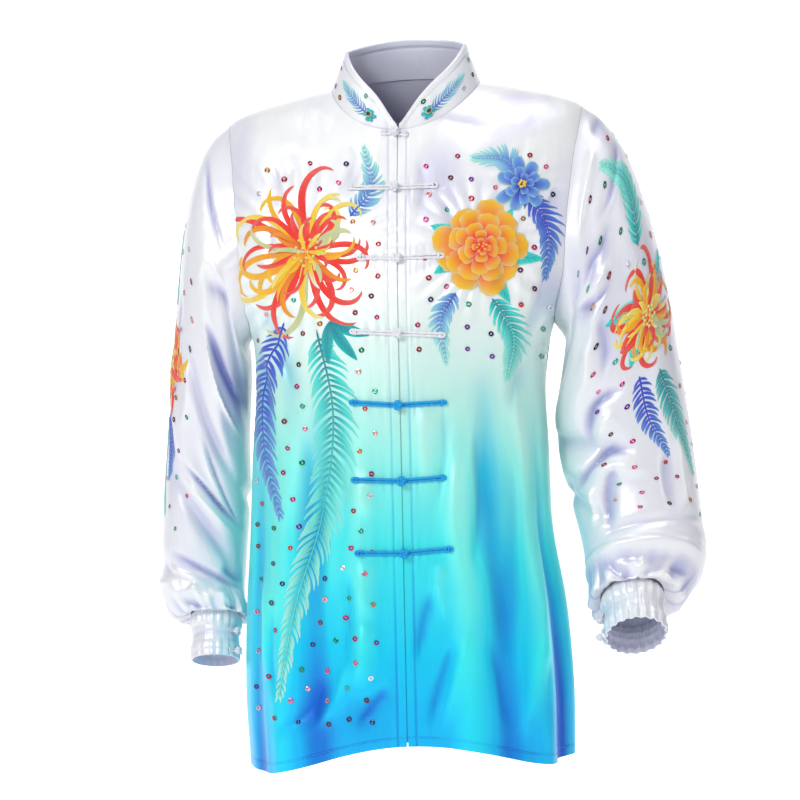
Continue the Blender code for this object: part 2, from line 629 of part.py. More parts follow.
def cord_shape(length, knot):
    """Along a closure's half from its tip: the distances, and how much wider and thicker than the
    cord it is there. The tip is a rolled end, and the knot half ends in a ball."""
    if not knot:
        middle = ((length * 0.6, 1.0, 1.0),) if length > 2 * CORD_TIP[-1][0] else ()
        return np.array(CORD_TIP + middle + ((length, 0.9, 1.0),))
    wide, thick = KNOT_RADIUS / CORD_HALF, KNOT_RADIUS / CORD_THICK
    ball = tuple((length - KNOT_RADIUS * math.cos(a), wide * math.sin(a), thick * math.sin(a))
                 for a in np.radians(KNOT_RINGS_DEG))
    middle = ((length * 0.5, 1.0, 1.0),) if length > 4 * KNOT_RADIUS else ()
    return np.array(CORD_TIP[:3] + middle + ball)


def frog_half(name, frog, way, finish):
    """One half of a closure, laid along the front's surface. way is -1 for the loop half on the
    wearer's right and 1 for the knot half on the left."""
    knot = way > 0
    reach = frog["knot"] if knot else frog["loop"] - KNOT_RADIUS - LIFT
    shape = cord_shape(reach, knot)
    length = frog["knot"] if knot else frog["loop"]
    rise = frog["knot_rise"] if knot else frog["loop_rise"]
    away = length - shape[:, 0]
    opening = HEM_SWAY + (NECK_SWAY - HEM_SWAY) * float(on_front(np.array(0.0), np.array(frog["z"]))[1])
    x = opening + frog["x"] + way * away
    z = frog["z"] + rise * away / length
    phi, t = on_front(x, z)
    outwards = normals(body, phi, t)
    on = body(phi, t)
    thick = CORD_THICK * shape[:, 2]
    middles = on + outwards * (LIFT + thick)[:, None]
    across = np.cross(outwards, unit(np.gradient(middles, axis=0)))
    return lofted(name, middles, across * (CORD_HALF * shape[:, 1])[:, None],
                  outwards * thick[:, None], finish)


def build_frogs():
    """The seven closures down the centre front, white above and blue below."""
    for number, row in enumerate(FROGS, start=1):
        frog = dict(zip(FROG_COLUMNS, row))
        finish = "cord_white" if number <= WHITE_FROGS else "cord_blue"
        frog_half(f"frog_{number}_loop", frog, -1, finish)
        frog_half(f"frog_{number}_knot", frog, 1, finish)


def build_cuff_knots(side):
    """Two small closures on the inner side of a cuff: a cord with a round knot in its middle."""
    shape = table(CUFF_COLUMNS, CUFF_SECTIONS)
    for number, down in enumerate(CUFF_KNOTS_DOWN, start=1):
        away = np.array(CUFF_KNOT_AWAY) * CUFF_LOOP
        swell = np.array(CUFF_KNOT_SWELL) * CUFF_KNOT_RADIUS
        theta = math.radians(CUFF_KNOT_DEG[side]) + away / CUFF_RADIUS
        flat = np.full(len(away), down)
        gather = np.interp(down, shape["down"], shape["gather"])
        grow = np.interp(down, shape["down"], shape["grow"]) + CUFF_GATHER * gather + LIFT + swell
        middles = cuff(side, theta, flat, grow, 0 * away)
        outs = middles - cuff(side, theta, flat, grow - swell, 0 * away)
        sides = np.cross(unit(np.gradient(middles, axis=0)), outs)
        lofted(f"cuff_knot_{side}_{number}", middles, sides, outs, "cord_white")


for old in list(bpy.data.objects):
    bpy.data.objects.remove(old)
JACKET = bpy.data.collections.new("martial_arts_jacket")
bpy.context.scene.collection.children.link(JACKET)
build_body()
build_collar()
build_frogs()
for each in ("left", "right"):
    build_sleeve(each)
    build_cuff_knots(each)
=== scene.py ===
"""The looks of a martial arts jacket of white satin that shades through aqua to blue at the hem.

The cloth pieces are thin shells on the same worked-out surfaces as the solids, at a finer grid and
with the smaller creases. The embroidery, the ring sequins, the cords with their woven knots and the
stitches lie on those shells. Sizes are in metres, in the jacket's own frame: +Z up, the front faces
-Y, and the wearer's left is +X.
"""

import math

import bmesh
import bpy
import numpy as np
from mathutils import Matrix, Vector


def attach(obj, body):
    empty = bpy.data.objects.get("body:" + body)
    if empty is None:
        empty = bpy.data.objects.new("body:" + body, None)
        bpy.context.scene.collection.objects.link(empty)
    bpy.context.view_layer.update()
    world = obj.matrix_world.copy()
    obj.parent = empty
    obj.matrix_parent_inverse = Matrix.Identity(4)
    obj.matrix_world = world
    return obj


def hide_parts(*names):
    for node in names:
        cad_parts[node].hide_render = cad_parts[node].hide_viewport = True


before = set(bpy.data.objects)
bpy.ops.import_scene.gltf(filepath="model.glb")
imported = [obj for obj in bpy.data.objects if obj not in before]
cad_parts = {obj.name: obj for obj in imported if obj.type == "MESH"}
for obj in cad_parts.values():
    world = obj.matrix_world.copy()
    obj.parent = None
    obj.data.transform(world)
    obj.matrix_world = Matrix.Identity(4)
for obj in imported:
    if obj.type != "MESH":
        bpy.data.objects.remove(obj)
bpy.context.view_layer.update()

# Cloth and seams
CLOTH = 0.0010
COLLAR_CLOTH = 0.0024
CUFF_CLOTH = 0.0016
SEAM = 0.0002

# The body's sections, from the hem (t = 0) to the neck seam (t = 1), as the solids have them
BODY_COLUMNS = ("t", "z_side", "z_front", "z_back", "left", "right", "front", "back", "full")
BODY_SECTIONS = (
    (0.000, -0.735, -0.711, -0.728, 0.183, 0.168, 0.134, 0.122, 0.20),
    (0.100, -0.660, -0.640, -0.655, 0.182, 0.173, 0.133, 0.120, 0.20),
    (0.200, -0.580, -0.568, -0.580, 0.175, 0.173, 0.132, 0.117, 0.20),
    (0.300, -0.500, -0.497, -0.502, 0.162, 0.171, 0.131, 0.114, 0.19),
    (0.420, -0.400, -0.410, -0.402, 0.157, 0.168, 0.130, 0.112, 0.18),
    (0.520, -0.322, -0.345, -0.325, 0.154, 0.164, 0.130, 0.114, 0.17),
    (0.590, -0.268, -0.301, -0.272, 0.163, 0.169, 0.129, 0.117, 0.16),
    (0.660, -0.205, -0.255, -0.212, 0.190, 0.192, 0.127, 0.118, 0.14),
    (0.740, -0.135, -0.206, -0.146, 0.203, 0.204, 0.120, 0.114, 0.11),
    (0.810, -0.078, -0.165, -0.093, 0.204, 0.205, 0.109, 0.105, 0.03),
    (0.870, -0.032, -0.130, -0.055, 0.193, 0.193, 0.097, 0.094, -0.08),
    (0.910, -0.019, -0.106, -0.032, 0.164, 0.164, 0.087, 0.083, -0.04),
    (0.955, -0.009, -0.080, -0.008, 0.125, 0.125, 0.076, 0.070, 0.01),
    (1.000, 0.000, -0.054, 0.014, 0.082, 0.082, 0.066, 0.058, 0.03),
)
ARMPIT_T = 0.590
SHOULDER_T = 0.870
ARMHOLE_MIDDLE = (SHOULDER_T + ARMPIT_T) / 2
ARMHOLE_REACH = (SHOULDER_T - ARMPIT_T) / 2
ARMHOLE_TURN = math.radians(32)
FRONT = math.radians(270)
VENT_T = 0.290
VENT_OPEN = 0.010
SHOULDER_LEAN = 0.045
FRONT_GAP = 0.0007
NECK_SWAY = -0.004
NECK_ROUND = 0.5
NECK_ROUND_T = 0.9
HEM_SWAY = 0.012
HEM_DIP = 0.014
HEM_DIP_T = 0.22

# The main folds that hang down the body, as the solids have them
FOLD_COLUMNS = ("top_deg", "low_deg", "top_t", "low_t", "half_deg", "height")
BODY_FOLDS = (
    (318, 322, 0.58, -0.10, 6.0, 0.0060),
    (301, 303, 0.62, -0.10, 5.0, -0.0060),
    (288, 289, 0.55, -0.10, 5.0, 0.0050),
    (333, 338, 0.50, -0.10, 6.0, -0.0080),
    (349, 350, 0.40, -0.10, 5.0, 0.0050),
    (256, 257, 0.52, 0.05, 4.5, 0.0040),
    (243, 240, 0.60, -0.10, 5.5, -0.0065),
    (228, 226, 0.50, -0.10, 6.0, 0.0060),
    (210, 208, 0.46, -0.10, 6.0, -0.0060),
    (190, 188, 0.34, -0.10, 5.0, 0.0020),
    (30, 24, 0.60, -0.10, 6.0, 0.0060),
    (48, 44, 0.70, -0.10, 6.0, -0.0080),
    (66, 64, 0.60, -0.10, 7.0, 0.0070),
    (88, 90, 0.66, -0.10, 7.0, -0.0060),
    (110, 114, 0.62, -0.10, 7.0, 0.0070),
    (130, 136, 0.70, -0.10, 6.0, -0.0080),
    (150, 157, 0.60, -0.10, 6.0, 0.0060),
)
FOLD_START = 0.35
FOLD_END = 0.15

# Smaller creases in millimetres: half their width to either side of a line, their height, and the
# x and z of the line's points. Left and right are the picture's, for a line that runs down
MM = 1000
FRONT_LINES = (
    (5, 9, -2.6, -139, -88, -136, -118, -140, -152),
    (6, 6, -2, -121, -66, -117, -92, -123, -120),
    (6, 10, -3, -100, -68, -97, -108, -106, -160, -118, -205),
    (6, 8, -2.2, -52, -58, -51, -95, -58, -142),
    (4, 6, 1.6, -26, -64, -28, -105),
    (6, 8, -2.6, -142, -140, -139, -185, -128, -222),
    (5, 10, -3.8, -158, -232, -130, -290, -108, -350),
    (4, 9, 2.8, -156, -262, -134, -335, -120, -425),
    (4, 7, -2.8, -160, -285, -146, -330, -140, -390),
    (12, 12, -3, 30, -38, 62, -46, 104, -54),
    (5, 7, -2.4, 20, -83, 25, -122, 21, -160),
    (5, 8, -2.6, 47, -128, 57, -160, 72, -192),
    (3, 6, 2.4, 94, -204, 103, -230, 106, -266),
    (3, 6, -2.6, 104, -198, 114, -230, 117, -272),
    (3, 6, 2.2, 118, -192, 126, -222, 124, -262),
    (5, 10, -3.6, 161, -198, 147, -245, 128, -290),
    (4, 7, 2.8, 164, -232, 142, -280, 118, -328),
    (5, 11, -3.4, 152, -260, 128, -308, 118, -372),
    (4, 8, -2.6, 172, -110, 160, -140, 152, -182),
    (7, 10, 3, 30, -345, 27, -390, 34, -450),
    (5, 9, -3, 48, -340, 50, -400, 43, -475),
    (6, 9, 3, 62, -395, 57, -470, 66, -545),
    (5, 9, -3.2, 82, -365, 88, -450, 79, -545),
    (11, 12, -4.2, 120, -362, 125, -460, 118, -560, 122, -625),
    (4, 8, 3.4, 145, -395, 148, -500, 156, -605),
    (5, 8, 3, 47, -512, 43, -545, 52, -585),
    (6, 7, -3.8, 41, -540, 28, -580, 24, -628),
    (4, 8, -3.8, 64, -592, 46, -640, 34, -694),
    (5, 8, 3.6, 76, -584, 63, -640, 45, -706),
    (6, 7, -3.4, 97, -590, 112, -650, 121, -700),
    (5, 9, 3.6, 152, -585, 143, -650, 131, -710),
    (5, 5, -3, 158, -610, 156, -655, 160, -705),
    (8, 8, 3.2, -30, -418, -35, -445, -30, -474),
    (8, 8, 3.4, -29, -512, -36, -545, -29, -585),
    (5, 6, -4.2, -53, -522, -49, -570, -59, -640),
    (6, 10, 3.6, -34, -575, -36, -615, -45, -660),
    (4, 8, -3.6, -6, -645, -26, -666, -45, -695),
    (5, 8, 3.8, -50, -618, -66, -665, -100, -708),
    (5, 8, -3.8, -76, -632, -98, -672, -136, -704),
    (5, 9, 3.4, -151, -525, -146, -590, -151, -648),
    (5, 7, -3.6, -131, -552, -134, -620, -125, -680),
    (7, 8, -3, -101, -372, -94, -450, -101, -548),
    (5, 9, 3, -79, -412, -72, -500, -81, -600),
    (5, 8, -2.8, -63, -345, -54, -420, -59, -505),
)
BACK_LINES = (
    (6, 11, -3.8, 156, -235, 124, -290, 90, -340),
    (6, 11, -3.8, -156, -245, -122, -300, -90, -356),
    (5, 9, 3, 156, -268, 130, -340, 112, -440),
    (5, 9, 3, -154, -275, -132, -350, -116, -455),
    (7, 10, -2.8, 124, -100, 112, -160, 102, -235),
    (7, 10, -2.8, -124, -104, -110, -170, -106, -240),
    (5, 8, -2.4, 48, -52, 34, -100, 20, -155),
    (5, 8, -2.4, -50, -54, -32, -104, -18, -160),
    (6, 9, 3, 40, -370, 50, -500, 46, -650),
    (6, 9, -3, -28, -345, -38, -460, -36, -605),
    (6, 10, 3.4, -110, -410, -122, -560, -116, -706),
    (6, 10, 3, 108, -425, 122, -560, 118, -704),
    (5, 8, -3.6, -74, -560, -80, -630, -100, -700),
    (5, 8, -3.4, 76, -540, 84, -620, 72, -700),
    (5, 8, 3, 4, -520, -6, -600, 6, -690),
    (4, 8, -2.8, 150, -560, 146, -630, 156, -700),
)
CREASE_STEPS = 12
CREASE_POWER = 1.5
CREASE_IN, CREASE_OUT = 0.30, 0.40

# Puckers round the heavy embroidery: centre, ring's radius, how far it reaches, waves and height
PUCKER_COLUMNS = ("x", "z", "radius", "reach", "waves", "height")
PUCKERS = (
    (-0.098, -0.188, 0.088, 0.026, 33, 0.0007),
    (0.088, -0.184, 0.058, 0.020, 23, 0.0008),
    (0.130, -0.116, 0.034, 0.012, 15, 0.0005),
)

# Puckers beside each closure: where they start and end across, how they fade up and down, height
PULL_START, PULL_REACH, PULL_END = 0.012, 0.062, 0.02
PULL_FADE, PULL_HEIGHT = 0.009, 0.0007

# The sleeves' sections, from the armhole (v = 0) to the cuff seam (v = 1), as the solids have them
SLEEVE_COLUMNS = ("v", "outer", "outer_z", "inner", "inner_z", "y", "half_depth", "lean_deg")
LEFT_SLEEVE = (
    (0.00, 0.196, -0.021, 0.166, -0.262, 0.000, 0.069, 0),
    (0.06, 0.215, -0.036, 0.176, -0.277, 0.001, 0.073, 0),
    (0.14, 0.241, -0.075, 0.174, -0.296, 0.002, 0.075, 0),
    (0.24, 0.268, -0.148, 0.170, -0.322, 0.004, 0.075, 0),
    (0.34, 0.287, -0.225, 0.164, -0.352, 0.006, 0.074, 0),
    (0.44, 0.299, -0.295, 0.165, -0.385, 0.006, 0.073, 3),
    (0.54, 0.309, -0.358, 0.172, -0.422, 0.003, 0.071, 8),
    (0.64, 0.317, -0.416, 0.182, -0.458, -0.005, 0.068, 15),
    (0.74, 0.323, -0.468, 0.191, -0.490, -0.017, 0.065, 24),
    (0.82, 0.328, -0.507, 0.196, -0.513, -0.031, 0.061, 31),
    (0.89, 0.320, -0.537, 0.198, -0.541, -0.045, 0.055, 37),
    (0.95, 0.300, -0.557, 0.202, -0.566, -0.058, 0.044, 41),
    (1.00, 0.282, -0.553, 0.214, -0.560, -0.057, 0.034, 42),
)
RIGHT_SLEEVE = (
    (0.00, 0.196, -0.038, 0.168, -0.276, 0.000, 0.069, 0),
    (0.06, 0.218, -0.060, 0.176, -0.289, 0.003, 0.073, 0),
    (0.14, 0.235, -0.108, 0.174, -0.306, 0.007, 0.075, 0),
    (0.24, 0.247, -0.170, 0.174, -0.330, 0.013, 0.075, 0),
    (0.34, 0.254, -0.238, 0.176, -0.362, 0.020, 0.074, 0),
    (0.44, 0.260, -0.305, 0.178, -0.396, 0.028, 0.073, -2),
    (0.54, 0.266, -0.368, 0.178, -0.430, 0.036, 0.070, 0),
    (0.64, 0.271, -0.428, 0.179, -0.466, 0.041, 0.067, 4),
    (0.74, 0.275, -0.488, 0.182, -0.505, 0.044, 0.064, 9),
    (0.82, 0.277, -0.533, 0.184, -0.540, 0.043, 0.060, 13),
    (0.89, 0.275, -0.565, 0.184, -0.564, 0.038, 0.054, 16),
    (0.95, 0.260, -0.590, 0.178, -0.588, 0.030, 0.044, 18),
    (1.00, 0.243, -0.586, 0.187, -0.584, 0.030, 0.032, 18),
)
SLEEVE_FULL = 0.10
ARMHOLE_BLEND = 0.16
ARMHOLE_TURN_IN = 0.08

# The sleeves' main creases, as the solids have them
CREASE_COLUMNS = ("turn_deg", "v", "slant_deg", "half_length", "half_width", "height")
LEFT_CREASES = (
    (150, 0.20, 62, 0.090, 0.014, -0.008),
    (110, 0.30, 70, 0.090, 0.015, 0.006),
    (140, 0.50, -35, 0.060, 0.013, -0.009),
    (120, 0.60, -30, 0.060, 0.014, 0.008),
    (150, 0.69, -58, 0.060, 0.012, -0.008),
    (80, 0.80, 12, 0.080, 0.010, -0.007),
    (75, 0.86, 4, 0.080, 0.010, 0.007),
    (200, 0.62, 20, 0.060, 0.014, -0.008),
    (250, 0.52, -30, 0.070, 0.016, 0.007),
    (270, 0.72, 15, 0.070, 0.014, -0.007),
    (330, 0.30, 75, 0.080, 0.016, -0.005),
)
RIGHT_CREASES = (
    (140, 0.22, 66, 0.090, 0.014, -0.008),
    (100, 0.34, 72, 0.090, 0.015, 0.006),
    (95, 0.46, 50, 0.070, 0.012, -0.010),
    (70, 0.58, 52, 0.090, 0.014, 0.007),
    (95, 0.72, 42, 0.070, 0.012, -0.010),
    (70, 0.85, 16, 0.080, 0.011, -0.007),
    (80, 0.91, 5, 0.080, 0.010, 0.006),
    (200, 0.62, 20, 0.060, 0.014, -0.006),
    (250, 0.52, -30, 0.070, 0.016, 0.007),
    (270, 0.72, 15, 0.070, 0.014, -0.007),
    (330, 0.30, 75, 0.080, 0.016, -0.005),
)

# The sleeves' smaller creases, whose points are turns in degrees and thousandths of v
SLEEVE_LINES = {
    "left": (
        (6, 10, -3, 6, 55, 22, 52, 38, 45),
        (8, 8, 4, 40, 52, 56, 58, 80, 52, 98, 64),
        (7, 4, -3.6, 14, 100, 33, 125, 61, 138, 80, 112),
        (8, 12, -3.4, 68, 165, 88, 158, 106, 115),
        (4, 4, 3.4, 130, 95, 106, 175, 90, 200, 76, 198),
        (6, 6, -3.8, 127, 125, 107, 202, 92, 230, 78, 232),
        (5, 9, 3.4, 118, 250, 112, 330, 116, 400),
        (5, 8, -3.4, 100, 240, 96, 320, 98, 400),
        (6, 6, -5.6, 82, 452, 98, 434, 111, 440, 118, 485, 123, 540),
        (7, 7, 4, 94, 480, 105, 495, 111, 545),
        (6, 8, -8, 84, 605, 104, 567, 118, 582, 138, 610, 158, 640),
        (3, 12, -6.6, 98, 612, 114, 645, 123, 740, 127, 850),
        (8, 4, 5, 128, 630, 136, 710, 142, 800),
        (5, 8, -3.4, 60, 600, 64, 700, 60, 800),
        (4, 7, 2.8, 42, 560, 46, 680, 42, 780),
        (4, 4, -4.8, 108, 930, 96, 945, 82, 955),
        (4, 4, -4.6, 62, 915, 42, 910, 22, 914),
        (4, 4, 4.6, 116, 902, 92, 922, 70, 914),
        (4, 4, 4, 76, 938, 56, 944, 38, 932),
        (3, 4, 3.6, 136, 905, 124, 935, 116, 955),
        (3, 4, -3.6, 130, 895, 118, 920, 110, 945),
        (7, 10, -4.6, 300, 550, 276, 600, 250, 680),
        (6, 9, 4, 306, 620, 280, 680, 252, 750),
        (6, 10, -4, 250, 180, 262, 300, 258, 420),
        (6, 8, -4, 225, 800, 262, 830, 300, 815),
        (4, 5, 4, 200, 905, 240, 925, 285, 915),
        (4, 5, -4, 215, 935, 255, 945, 300, 930),
        (6, 9, -3.4, 340, 140, 330, 260, 338, 380),
    ),
    "right": (
        (6, 4, -4.4, 22, 66, 50, 75, 74, 68, 96, 40),
        (4, 6, 3.4, 72, 250, 78, 170, 94, 115, 114, 60),
        (6, 7, -4.2, 82, 215, 104, 130, 124, 70),
        (12, 13, -8.2, 84, 245, 108, 300, 134, 322, 168, 345),
        (6, 3, 5.6, 80, 250, 104, 348, 124, 386, 162, 432),
        (6, 3, -6, 62, 590, 92, 625, 121, 670, 172, 725),
        (7, 5, 4.4, 58, 620, 88, 660, 116, 705, 150, 752),
        (3, 4, -3.6, 90, 490, 109, 585, 134, 665, 158, 705),
        (4, 6, 3.4, 84, 500, 102, 590, 126, 672),
        (6, 4, -5.2, 46, 792, 92, 832, 132, 868, 172, 888),
        (10, 10, -5, 122, 822, 146, 846, 172, 858),
        (5, 5, 4.4, 36, 822, 76, 858, 112, 894),
        (10, 8, 4.4, 10, 862, 38, 872, 66, 890),
        (3, 3, 4, 72, 915, 84, 895, 92, 885),
        (3, 4, 4.4, 92, 936, 108, 910, 130, 912),
        (4, 4, -4.2, 56, 916, 82, 936, 104, 942),
        (3, 4, -4, 112, 930, 130, 938, 150, 925),
        (5, 8, -3, 44, 280, 38, 380, 44, 480),
        (5, 7, 2.6, 62, 360, 66, 460, 58, 550),
        (7, 10, -4.6, 300, 530, 276, 600, 248, 690),
        (6, 9, 4, 306, 600, 280, 670, 250, 760),
        (6, 10, -4, 250, 180, 262, 300, 258, 420),
        (6, 8, -4, 225, 790, 262, 820, 300, 810),
        (4, 5, 4, 200, 900, 240, 922, 285, 912),
        (4, 5, -4, 215, 932, 255, 943, 300, 928),
        (6, 9, -3.4, 340, 140, 330, 260, 338, 380),
    ),
}
LINE_END = 0.03

# The casing round the left sleeve above the cuff: its two seams, and how far the cloth falls in
# under it
CASING = (0.853, 0.884)
CASING_SEAM = 0.0058
CASING_GROOVE = 0.0020
CASING_FALL = 0.0030
CASING_STEP, CASING_END, CASING_FADE = 0.012, 0.92, 0.03

# A sleeve's length and radius for measures along and round it, and its main creases and gathers
SLEEVE_LENGTH = 0.56
SLEEVE_ROUND = 0.07
CREASE_END = 0.12
CREASE_SOFT = 0.7
GATHER_START, GATHER_FULL, GATHER_END = 0.86, 0.95, 0.984
SLEEVE_GATHERS = 12
SLEEVE_GATHER = 0.0022
FINE_GATHER = 0.0012

# Cuff: down it, the growth of its radius and how much the gathers show
CUFF_HEIGHT = 0.052
CUFF_GATHERS = 20
CUFF_GATHER = 0.0011
CUFF_COLUMNS = ("down", "grow", "gather")
CUFF_SECTIONS = (
    (0.00, -0.0008, 0.3),
    (0.24, 0.0008, 1.0),
    (0.42, -0.0010, 0.2),
    (0.58, -0.0010, 0.2),
    (0.80, 0.0008, 1.0),
    (1.00, 0.0000, 1.0),
)
CUFF_TAPER = 0.96
CUFF_RADIUS = 0.034

# Collar
COLLAR_HEIGHT = 0.046
COLLAR_LEAN = math.radians(21)
COLLAR_CORNER = 0.017
COLLAR_CORNER_POWER = 1.35
COLLAR_END = 0.006

# The collar's painted shade: its lightness, its wave round the neck, and its half width at the seam
COLLAR_LIGHT, COLLAR_SHADE_WAVE = 0.62, 0.10
COLLAR_FOOT_SHADE = 0.0016

# Underlap behind the centre opening
UNDERLAP_HALF = 0.019
UNDERLAP_CLOTH = 0.0012
UNDERLAP_ENDS = (0.006, 0.992)

# Knotted closures: the height of each knot, its distance from the opening's middle, the length
# of its loop half and of its knot half, and how far the two tips lie above the knot
FROG_COLUMNS = ("z", "x", "loop", "knot", "loop_rise", "knot_rise")
FROGS = (
    (-0.058, -0.003, 0.015, 0.014, 0.000, -0.002),
    (-0.119, -0.003, 0.051, 0.047, 0.000, 0.002),
    (-0.195, 0.000, 0.042, 0.048, 0.000, 0.002),
    (-0.275, -0.001, 0.050, 0.049, 0.002, -0.002),
    (-0.351, -0.002, 0.051, 0.050, 0.003, 0.003),
    (-0.431, 0.000, 0.052, 0.047, 0.001, 0.004),
    (-0.507, 0.001, 0.051, 0.051, 0.000, 0.005),
)
WHITE_FROGS = 4
STRAND = 0.0014
KNOT_RADIUS = 0.0056
CUFF_KNOT_RADIUS = 0.0042
CUFF_KNOT_DEG = {"left": 188, "right": 148}
CUFF_KNOTS_DOWN = (0.45, 0.88)
CUFF_LOOP = 0.013
LIFT = 0.0004

# Turned and stitched edges: how far the stitch line lies from the edge, and its groove
BAND = 0.0098
GROOVE = 0.0006
GROOVE_HALF = 0.0009
BAND_RAISE = 0.0003
BAND_STEP = 0.0012
STITCH_STEP = 0.0032
STITCH_HALF = 0.0011
STITCH_RADIUS = 0.00026

# The turned hem, the underlap's inset and the collar's bound edge
HEM_T = 0.020
HEM_STITCH_T = 0.0135
HEM_STITCH_HALF = 0.0014
UNDERLAP_INSET = CLOTH + 0.0004
BIND = 0.0095
BIND_RAISE = 0.0007
BIND_ROUND = 0.0018
COLLAR_ROUND = 0.072

# Cords and woven knots: where a closure's cord starts and how tightly it turns back, the places
# of its wraps and of the swelling at its tip, and how much it swells there. A knot's cord, its dips
# and the ball inside are shares of its radius
CORD_START = 0.003
CORD_TURN = 0.0016
WRAPS = (0.0030, 0.0052)
TIP_SWELL, TIP_PLACE, TIP_HALF = 0.45, 0.0035, 0.003
CUFF_CORD = 0.0011
CUFF_TURN = 0.001
KNOT_SWING = 0.95
KNOT_CORD = 0.27
KNOT_DIP = 0.10
KNOT_BALL = 0.72

# The cuffs' rows of elastic and puckers, how much of them each cuff's lower half keeps, and how
# much lighter the cuffs are painted, over the painted highlight and shade of their relief
CUFF_ELASTIC = (0.34, 0.50, 0.66, 0.88)
CUFF_GROOVE = 0.0007
CUFF_GROOVE_HALF = 0.03
CUFF_PUCKER = 0.0004
CUFF_CALM = {"left": 1.0, "right": 0.45}
CUFF_LIGHT = 0.04

# Sequins: radius, distance kept from the embroidery, points round a ring and its rim, and tries
SEQUIN_RADIUS = 0.0028
SEQUIN_CLEAR = 0.0056
RING, RIM = 14, 6
TRIES = 6000

# The floor's sweep up into the wall, and where it starts
SWEEP = 1.2
SWEEP_Y = 3.4

# Painted highlight and shade from relief: the relief of a strong tint, the shares of the sleeves'
# main creases and of the body's folds that count, and how much darker stitched lines are painted
FOLD_SHADE = 0.0046
MAIN_SHADE = 0.28
BODY_SHADE = 0.72
BAND_SHADE = 0.30
THREAD_STEP = 0.0009
GOLDEN_TURN = 2.4

SAME_POINT = 1e-6
SHARP = math.radians(50)

# Grid sizes of the shells
HEM_ROWS, LOW_ROWS, ARM_ROWS, TOP_ROWS = 10, 100, 72, 32
EDGE_COLUMNS, FRONT_COLUMNS, BACK_COLUMNS = 16, 76, 110
EDGE_SHARE = 0.060
UNDERLAP_ROWS = 70
SLEEVE_ROWS, SLEEVE_COUNT = 186, 2 * ARM_ROWS
COLLAR_ROWS, COLLAR_COLUMNS = 22, 190
CUFF_ROWS, CUFF_COUNT = 30, 200

SEED = 7
SIDE = {"left": 1.0, "right": -1.0}

# Camera, as the photograph was taken
CAMERA_TURN = math.radians(4.5)
CAMERA_AWAY = 3.1
CAMERA_HEIGHT = -0.3454
CAMERA_ASIDE = 0.0066
CAMERA_LENS = 126.8
SENSOR = 36.0
FLOOR = -0.90


def unit(vectors):
    """The same directions at length 1."""
    return vectors / np.linalg.norm(vectors, axis=-1, keepdims=True)


def table(columns, rows):
    """The rows as one array for each named column."""
    return dict(zip(columns, np.array(rows, float).T))


def named(columns, rows):
    """Each row with its columns' names."""
    return [dict(zip(columns, row)) for row in rows]


def bell(gap, half):
    """1 where the gap is nothing, falling off to either side over half."""
    return np.exp(-((gap / half) ** 2))


def half_turned(angle):
    """The same angle between half a turn back and half a turn on."""
    return (angle + math.pi) % (2 * math.pi) - math.pi


def smooth(known, column, at):
    """A cubic curve through a table's column, with slopes taken from the neighbouring rows."""
    x = known[next(iter(known))]
    y = known[column]
    slope = np.gradient(y, x)
    at = np.asarray(at, float)
    k = np.clip(np.searchsorted(x, at, side="right") - 1, 0, len(x) - 2)
    step = x[k + 1] - x[k]
    s = (at - x[k]) / step
    rise = y[k] * (1 + 2 * s) * (1 - s) ** 2 + y[k + 1] * s**2 * (3 - 2 * s)
    return rise + step * (slope[k] * s * (1 - s) ** 2 - slope[k + 1] * s**2 * (1 - s))


def ease(x):
    """0 below 0, 1 above 1, and a smooth step between."""
    x = np.clip(x, 0, 1)
    return x * x * (3 - 2 * x)


BODY = table(BODY_COLUMNS, BODY_SECTIONS)
SLEEVES = {
    "left": table(SLEEVE_COLUMNS, LEFT_SLEEVE),
    "right": table(SLEEVE_COLUMNS, RIGHT_SLEEVE),
}
CREASES = {"left": LEFT_CREASES, "right": RIGHT_CREASES}


def body(phi, t, small=1.0):
    """Points of the body's outside at the turn phi and the height t. The section is an ellipse with
    fuller corners, moved along the ellipse's own normal by the folds, and by the small creases
    times small."""
    phi, t = np.broadcast_arrays(np.asarray(phi, float), np.asarray(t, float))
    s, c = np.sin(phi), np.cos(phi)
    at = {name: smooth(BODY, name, t) for name in BODY_COLUMNS[1:]}
    front = s < 0
    half = np.where(c > 0, at["left"], at["right"])
    depth = np.where(front, at["front"], at["back"])
    x = half * c * (1 + at["full"] * s * s)
    y = depth * s * (1 + at["full"] * c * c)
    end = np.where(front, at["z_front"], at["z_back"])
    power = 2 - NECK_ROUND * ease((t - NECK_ROUND_T) / (1 - NECK_ROUND_T))
    z = at["z_side"] + (end - at["z_side"]) * np.abs(s) ** power
    low = 1 - ease(t / HEM_DIP_T)
    z = z - np.where(front, HEM_DIP * low * np.sin(2 * phi) ** 2, 0)
    sway = HEM_SWAY + (NECK_SWAY - HEM_SWAY) * t
    opening = x
    x = x + np.where(front, sway * s * s, 0)
    z = z + SHOULDER_LEAN * x
    out = body_relief(phi, t)
    if small:
        out = out + small * small_relief(x, z, s, opening)
    nx, ny = c / half, s / depth
    length = np.hypot(nx, ny)
    return np.stack([x + out * nx / length, y + out * ny / length, z], axis=-1)


def body_relief(phi, t):
    """How far the hanging folds move the body's surface out: a bell curve across each fold, eased
    in at its ends."""
    turn = np.degrees(phi) % 360
    out = np.zeros(np.shape(turn))
    for f in named(FOLD_COLUMNS, BODY_FOLDS):
        down = (f["top_t"] - t) / (f["top_t"] - f["low_t"])
        middle = f["top_deg"] + (f["low_deg"] - f["top_deg"]) * np.clip(down, 0, 1)
        off = (turn - middle + 180) % 360 - 180
        fade = ease(down / FOLD_START) * ease((1 - down) / FOLD_END)
        out = out + f["height"] * fade * bell(off, f["half_deg"])
    return out


